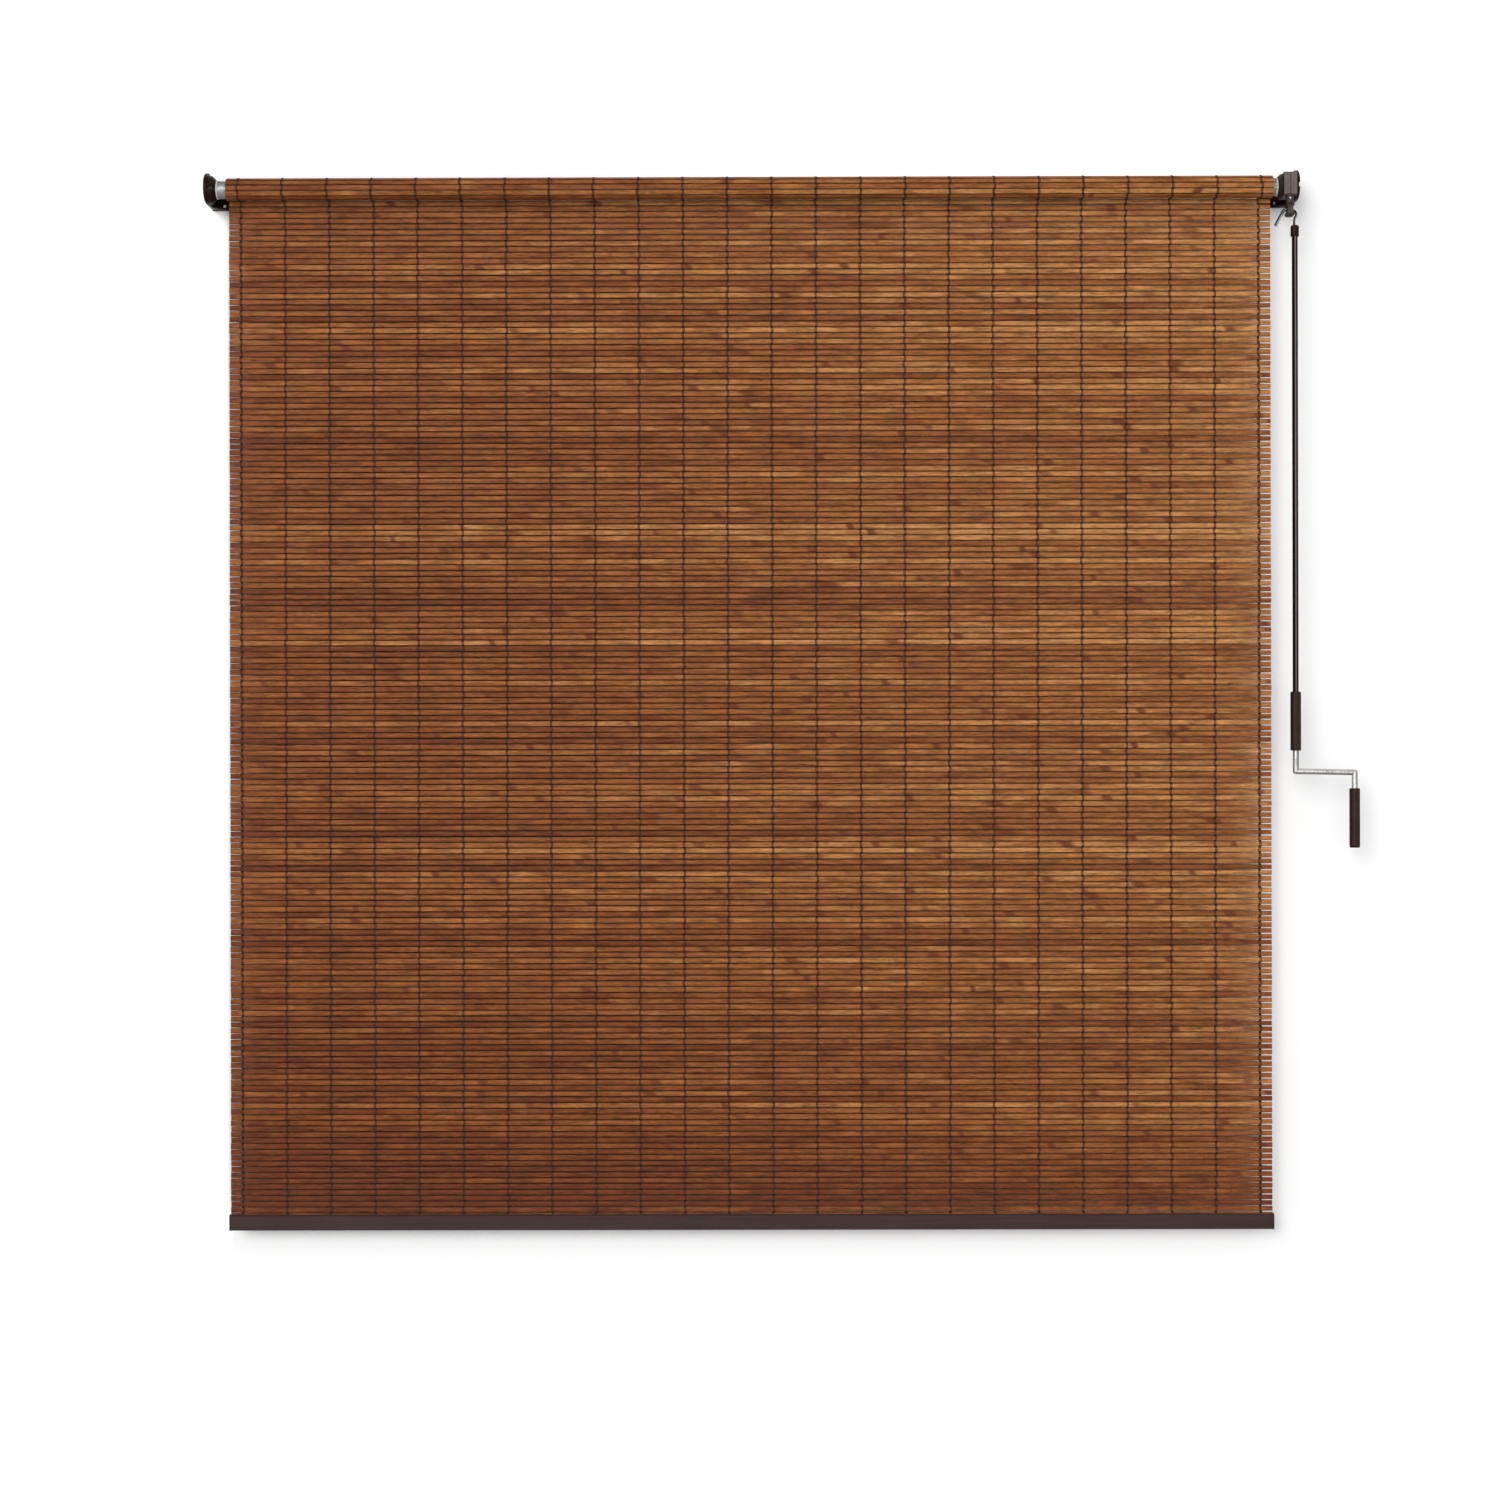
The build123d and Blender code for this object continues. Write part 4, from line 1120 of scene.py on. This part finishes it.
@dataclass
class CordRun:
    """Cords over one face of the mat, on one course."""

    name: str
    sizes: MatSizes
    material: bpy.types.Material
    side: Side
    first: int
    columns: int
    count: int
    course: Course
    seed: int
    start: float = -0.5
    radius: float = 0.7 * MM
    flat: float = 0.3 * MM
    dip: float = 1.5 * MM
    bead: float = 2.1
    sides: int = 5
    sharp: float = 80.0
    sway: float = 0.8 * MM
    gather: float = 0.8
    stray: float = 3.2 * MM
    stray_steps: Span = (0.37, 3.1)
    marks: tuple[float, ...] = (0.0, 0.22, 0.5, 0.78)
    guard: float = 0.25
    graph: ShapeGraph = field(init=False)

    def build(self) -> bpy.types.Object:
        """Make the cords.

        Returns:
            The piece.
        """
        self.graph = ShapeGraph("cords_" + self.name, {
            "Columns": self.columns,
            "First": self.first,
            "Slats": self.count,
            **self.course.inputs(),
            "Radius": self.radius,
            "Dip": self.dip,
            "Material": self.material,
        })
        piece = self.graph.run(self.name, self.tubes(self.route(self.lines())))
        shade(piece, self.sharp)
        return piece

    def lines(self) -> Socket:
        """Set a line of points for each cord, all at the origin.

        Returns:
            The lines, which know their cord's number and their points' numbers.
        """
        graph = self.graph
        steps = graph.times(graph.given["Slats"], float(len(self.marks)))
        line = graph.out("GeometryNodeMeshLine", {"Count": graph.add(steps, 1.0)})
        line = graph.store(line, "step", graph.index())
        curve = graph.out("GeometryNodeMeshToCurve", {"Mesh": line})
        cords = graph.times(graph.given["Columns"], 2.0)
        points = graph.out("GeometryNodePoints", {"Count": cords})
        placed = graph.out("GeometryNodeInstanceOnPoints", {"Points": points, "Instance": curve})
        placed = graph.store(placed, "cord", graph.index(), "INSTANCE")
        return graph.out("GeometryNodeRealizeInstances", {"Geometry": placed})

    def route(self, lines: Socket) -> Socket:
        """Lead each cord over the slats' faces and into the gaps between them.

        Args:
            lines: the cords' points.

        Returns:
            The led cords.
        """
        graph = self.graph
        steps = float(len(self.marks))
        step = graph.read("step")
        slat = graph.math("FLOOR", graph.math("DIVIDE", graph.add(step, self.guard), steps))
        phase = graph.less(step, graph.times(slat, steps))
        shares = [graph.times(graph.near(phase, place), mark) for place, mark in enumerate(self.marks)]
        at = graph.add(slat, graph.add(*shares), self.start)
        in_gap = graph.near(phase, 0)
        sink = graph.times(in_gap, graph.given["Dip"])
        lift = graph.times(graph.less(self.flat, sink), float(self.side.value))
        spot = self.course.spot(graph, self.across(slat, in_gap), at, lift, self.sizes.axis_y)
        led = graph.move(lines, Position=spot)
        thick = graph.add(1.0, graph.times(in_gap, self.bead))
        led = graph.out("GeometryNodeSetCurveRadius", {"Curve": led, "Radius": thick})
        # Marks the points in the gaps, where the cord's finish paints shade.
        led = graph.store(led, "painted_gap_shade", in_gap)
        return graph.store(led, "along", graph.times(at, self.sizes.pitch))

    def across(self, slat: Socket, in_gap: Socket) -> Socket:
        """Set where a cord's point is along the slats.

        Args:
            slat: which slat the point is at.
            in_gap: 1 in a gap, 0 on a face.

        Returns:
            The place along X.
        """
        graph, sizes = self.graph, self.sizes
        cord = graph.read("cord")
        column = graph.math("FLOOR", graph.times(graph.add(cord, self.guard), 0.5))
        twin = graph.less(cord, graph.times(column, 2.0))
        place = graph.add(column, graph.given["First"])
        x = graph.add(graph.times(place, sizes.spacing), sizes.margin - sizes.width / 2)
        pair = graph.times(graph.centred(twin), sizes.pair)
        odd = graph.math("MODULO", graph.add(slat, place), 2.0)
        zig = graph.times(graph.centred(odd), self.sway * 2)
        down, aside = self.stray_steps
        at = graph.vector(graph.times(slat, down), graph.times(place, aside), float(self.seed))
        stray = graph.noise(at, scale=1.0, detail=2.0)
        stray = graph.times(graph.centred(stray), self.stray)
        free = graph.less(1.0, graph.times(in_gap, self.gather))
        return graph.add(x, graph.times(pair, free), graph.times(zig, free), stray)

    def tubes(self, led: Socket) -> Socket:
        """Give the cords their thickness.

        Args:
            led: the cords' lines.

        Returns:
            The cords' mesh.
        """
        graph = self.graph
        size = {"Resolution": self.sides, "Radius": graph.given["Radius"]}
        ring = graph.out("GeometryNodeCurvePrimitiveCircle", size)
        turn = graph.math("DIVIDE", graph.index(), float(self.sides))
        return graph.out("GeometryNodeCurveToMesh", {
            "Curve": led,
            "Profile Curve": graph.store(ring, "around", turn),
            "Scale": graph.out("GeometryNodeInputRadius"),
            "Fill Caps": True,
        })


@dataclass
class Mat:
    """The bamboo mat: what hangs, and the turn that is on the tube."""

    bamboo: bpy.types.Material
    cord: bpy.types.Material
    sizes: MatSizes = field(default_factory=MatSizes)

    def build(self) -> None:
        """Make the slats and cords, and say what each moves with."""
        self.hanging_slats()
        self.hanging_cords()
        self.wound_slats()
        self.wound_cords()

    def hang(self, piece: bpy.types.Object, node: str) -> None:
        """Attach a hanging piece to the frame, give it its own mesh and hide the solid it stands for.

        Args:
            piece: the piece.
            node: the solid it stands for.
        """
        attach(piece, "frame")
        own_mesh(piece)
        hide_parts(node)

    def wind(self, piece: bpy.types.Object) -> None:
        """Let a wound piece turn with the tube.

        Args:
            piece: the piece.
        """
        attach(piece, "roller")
        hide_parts("mat_roll")

    def hanging_slats(self) -> None:
        """Make the slats below the roll."""
        size = self.sizes
        run = SlatRun(
            "hanging_slats", size, self.bamboo, size.count,
            Course.down(size, size.outer - size.thick / 2), size.thick, seed=11,
            # The lowest rows darker towards the bottom; painted light on the first rows, in the roll's
            # shade.
            low_tone=-0.27, painted_light_under_roll=0.3,
        )
        self.hang(run.build(), "bamboo_slats")

    def hanging_cords(self) -> None:
        """Make the cords before and behind the hanging slats, in two halves each."""
        size = self.sizes
        half = size.columns // 2
        for side in Side:
            face = size.outer - size.thick if side is Side.FRONT else size.outer
            plainer = {"sides": 4, "marks": (0.0, 0.22, 0.78)} if side is Side.BACK else {}
            for part, first in (("left", 0), ("right", half)):
                run = CordRun(
                    f"hanging_cords_{side.name.lower()}_{part}", size, self.cord, side, first, half,
                    size.count, Course.down(size, face), seed=23 + side.value, **plainer,
                )
                self.hang(run.build(), "mat_cords")

    def wound_slats(self) -> None:
        """Make the turn of slats on the tube, and what lies under its start."""
        size = self.sizes
        run = SlatRun(
            "wound_slats", size, self.bamboo, size.turn_slats,
            Course.round(size, size.outer - size.thick / 2, size.turn_drop), size.thick, seed=47,
            tilt=0.01, sway=0.15 * MM, slim=1.0, full=1.0,
        )
        self.wind(run.build())
        under = size.outer - size.thick - size.tube
        inner = SlatRun(
            "wound_slats_under", size, self.bamboo, size.turn_slats // 2,
            Course.round(size, size.tube + under / 4), under / 2, seed=61,
            tilt=0.0, sway=0.1 * MM, slim=1.0, full=1.0,
        )
        self.wind(inner.build())

    def wound_cords(self) -> None:
        """Make the cords over the turn on the tube, short of where it meets the hanging mat."""
        size = self.sizes
        run = CordRun(
            "wound_cords", size, self.cord, Side.BACK, 0, size.columns, size.turn_slats - 1,
            Course.round(size, size.outer, size.turn_drop), seed=31,
            radius=0.85 * MM, dip=0.7 * MM, bead=1.3, sway=0.7 * MM,
        )
        self.wind(run.build())


# The hardware


@dataclass
class Hardware:
    """The solids that keep their shape, each with its finish."""

    nodes: dict[str, bpy.types.Object]
    finishes: dict[type[Finish], tuple[str, ...]] = field(default_factory=lambda: {
        Galvanised: ("roller_tube",),
        GreyPlastic: ("idler_plug", "drive_plug"),
        BracketPlastic: ("left_bracket", "right_bracket", "hook_ferrule"),
        CasePlastic: ("gear_case_inner", "gear_case_outer"),
        DarkPlastic: ("upper_grip", "lower_grip", "lower_grip_cap"),
        EyePlastic: ("crank_eye",),
        BlackPlastic: ("pin_keeper", "case_keeper", "rail_cap_left", "rail_cap_right"),
        BrightSteel: (
            "idler_pin", "drive_shaft", "gear_case_screws", "worm", "eye_pin",
            "crank_arm", "upper_grip_ring", "lower_grip_washer",
        ),
        HookWire: ("crank_hook",),
        GearPlastic: ("worm_wheel",),
        Brass: ("worm_top_bush", "worm_lower_bush"),
        RodPaint: ("crank_rod",),
        RailPaint: ("bottom_rail",),
    })

    def dress(self) -> None:
        """Give each solid its finish."""
        for finish, names in self.finishes.items():
            material = finish().material
            for name in names:
                slots = self.nodes[name].data.materials
                slots.clear()
                slots.append(material)
                log.info("%s: %s", name, material.name)


# The room


@dataclass(frozen=True)
class Sun:
    """One soft lamp, as far off as the sun."""

    name: str
    strength: float
    size: float
    source: Triple

    def build(self) -> None:
        """Hang the lamp."""
        lamp = bpy.data.lights.new(self.name, "SUN")
        lamp.energy = self.strength
        lamp.angle = math.radians(self.size)
        sun = bpy.data.objects.new(self.name, lamp)
        sun.rotation_euler = Vector(self.source).to_track_quat("Z", "Y").to_euler()
        bpy.context.scene.collection.objects.link(sun)


@dataclass
class Room:
    """Wall, floor, lights and camera."""

    span: float = 12.0
    floor: float = -2.55
    camera_at: Triple = (0.014, -4.49, -0.9663)
    camera_yaw: float = 0.19
    camera_roll: float = 0.125
    lens: float = 61.79
    sensor: float = 36.0
    sky: float = 0.62
    suns: tuple[Sun, ...] = (
        Sun("key_sun", 1.15, 30.0, (-0.45, -1.0, 0.38)),
        Sun("fill_sun", 0.6, 45.0, (-0.12, -1.0, 0.0)),
    )

    def build(self) -> None:
        """Set the room up: a wall that the blind hangs on, a floor, lights and a camera."""
        half, low = self.span / 2, self.floor
        wall = [(-half, 0, low), (half, 0, low), (half, 0, half), (-half, 0, half)]
        self.plane("wall", wall, WhiteWall().material)
        floor = [(-half, -half, low), (half, -half, low), (half, half, low), (-half, half, low)]
        self.plane("floor", floor, PaleFloor().material)
        self.light()
        self.camera()

    def plane(self, name: str, corners: list[Triple], material: bpy.types.Material) -> None:
        """Make one plain surface of the room.

        Args:
            name: its name.
            corners: its corners in order.
            material: its finish.
        """
        mesh = bpy.data.meshes.new(name)
        mesh.from_pydata(corners, [], [tuple(range(len(corners)))])
        mesh.materials.append(material)
        plane = bpy.data.objects.new(name, mesh)
        bpy.context.scene.collection.objects.link(plane)

    def light(self) -> None:
        """Set two soft suns and an even sky, white where a lens or a mirror looks."""
        for sun in self.suns:
            sun.build()
        world = bpy.context.scene.world or bpy.data.worlds.new("sky")
        bpy.context.scene.world = world
        world.use_nodes = True
        graph = Graph(world.node_tree)
        sky = world.node_tree.nodes["Background"]
        graph.feed(sky.inputs["Color"], (1.0, 1.0, 1.0, 1.0))
        graph.feed(sky.inputs["Strength"], graph.spread(graph.seen(), 0.0, 1.0, self.sky, 1.0))

    def camera(self) -> None:
        """Set the camera before the mat, all but straight."""
        lens = bpy.data.cameras.new("camera")
        lens.lens = self.lens
        lens.sensor_width = self.sensor
        camera = bpy.data.objects.new("camera", lens)
        camera.location = self.camera_at
        camera.rotation_euler = (
            math.pi / 2, math.radians(self.camera_roll), math.radians(self.camera_yaw)
        )
        bpy.context.scene.collection.objects.link(camera)
        bpy.context.scene.camera = camera


def main() -> None:
    """Dress the solids, make the mat and set up the room."""
    logging.basicConfig(level=logging.INFO, format="%(message)s")
    bpy.context.scene.view_settings.view_transform = "Standard"
    Hardware(frame["nodes"]).dress()
    Mat(StainedBamboo().material, WovenCord().material).build()
    Room().build()


if __name__ == "__main__":
    main()
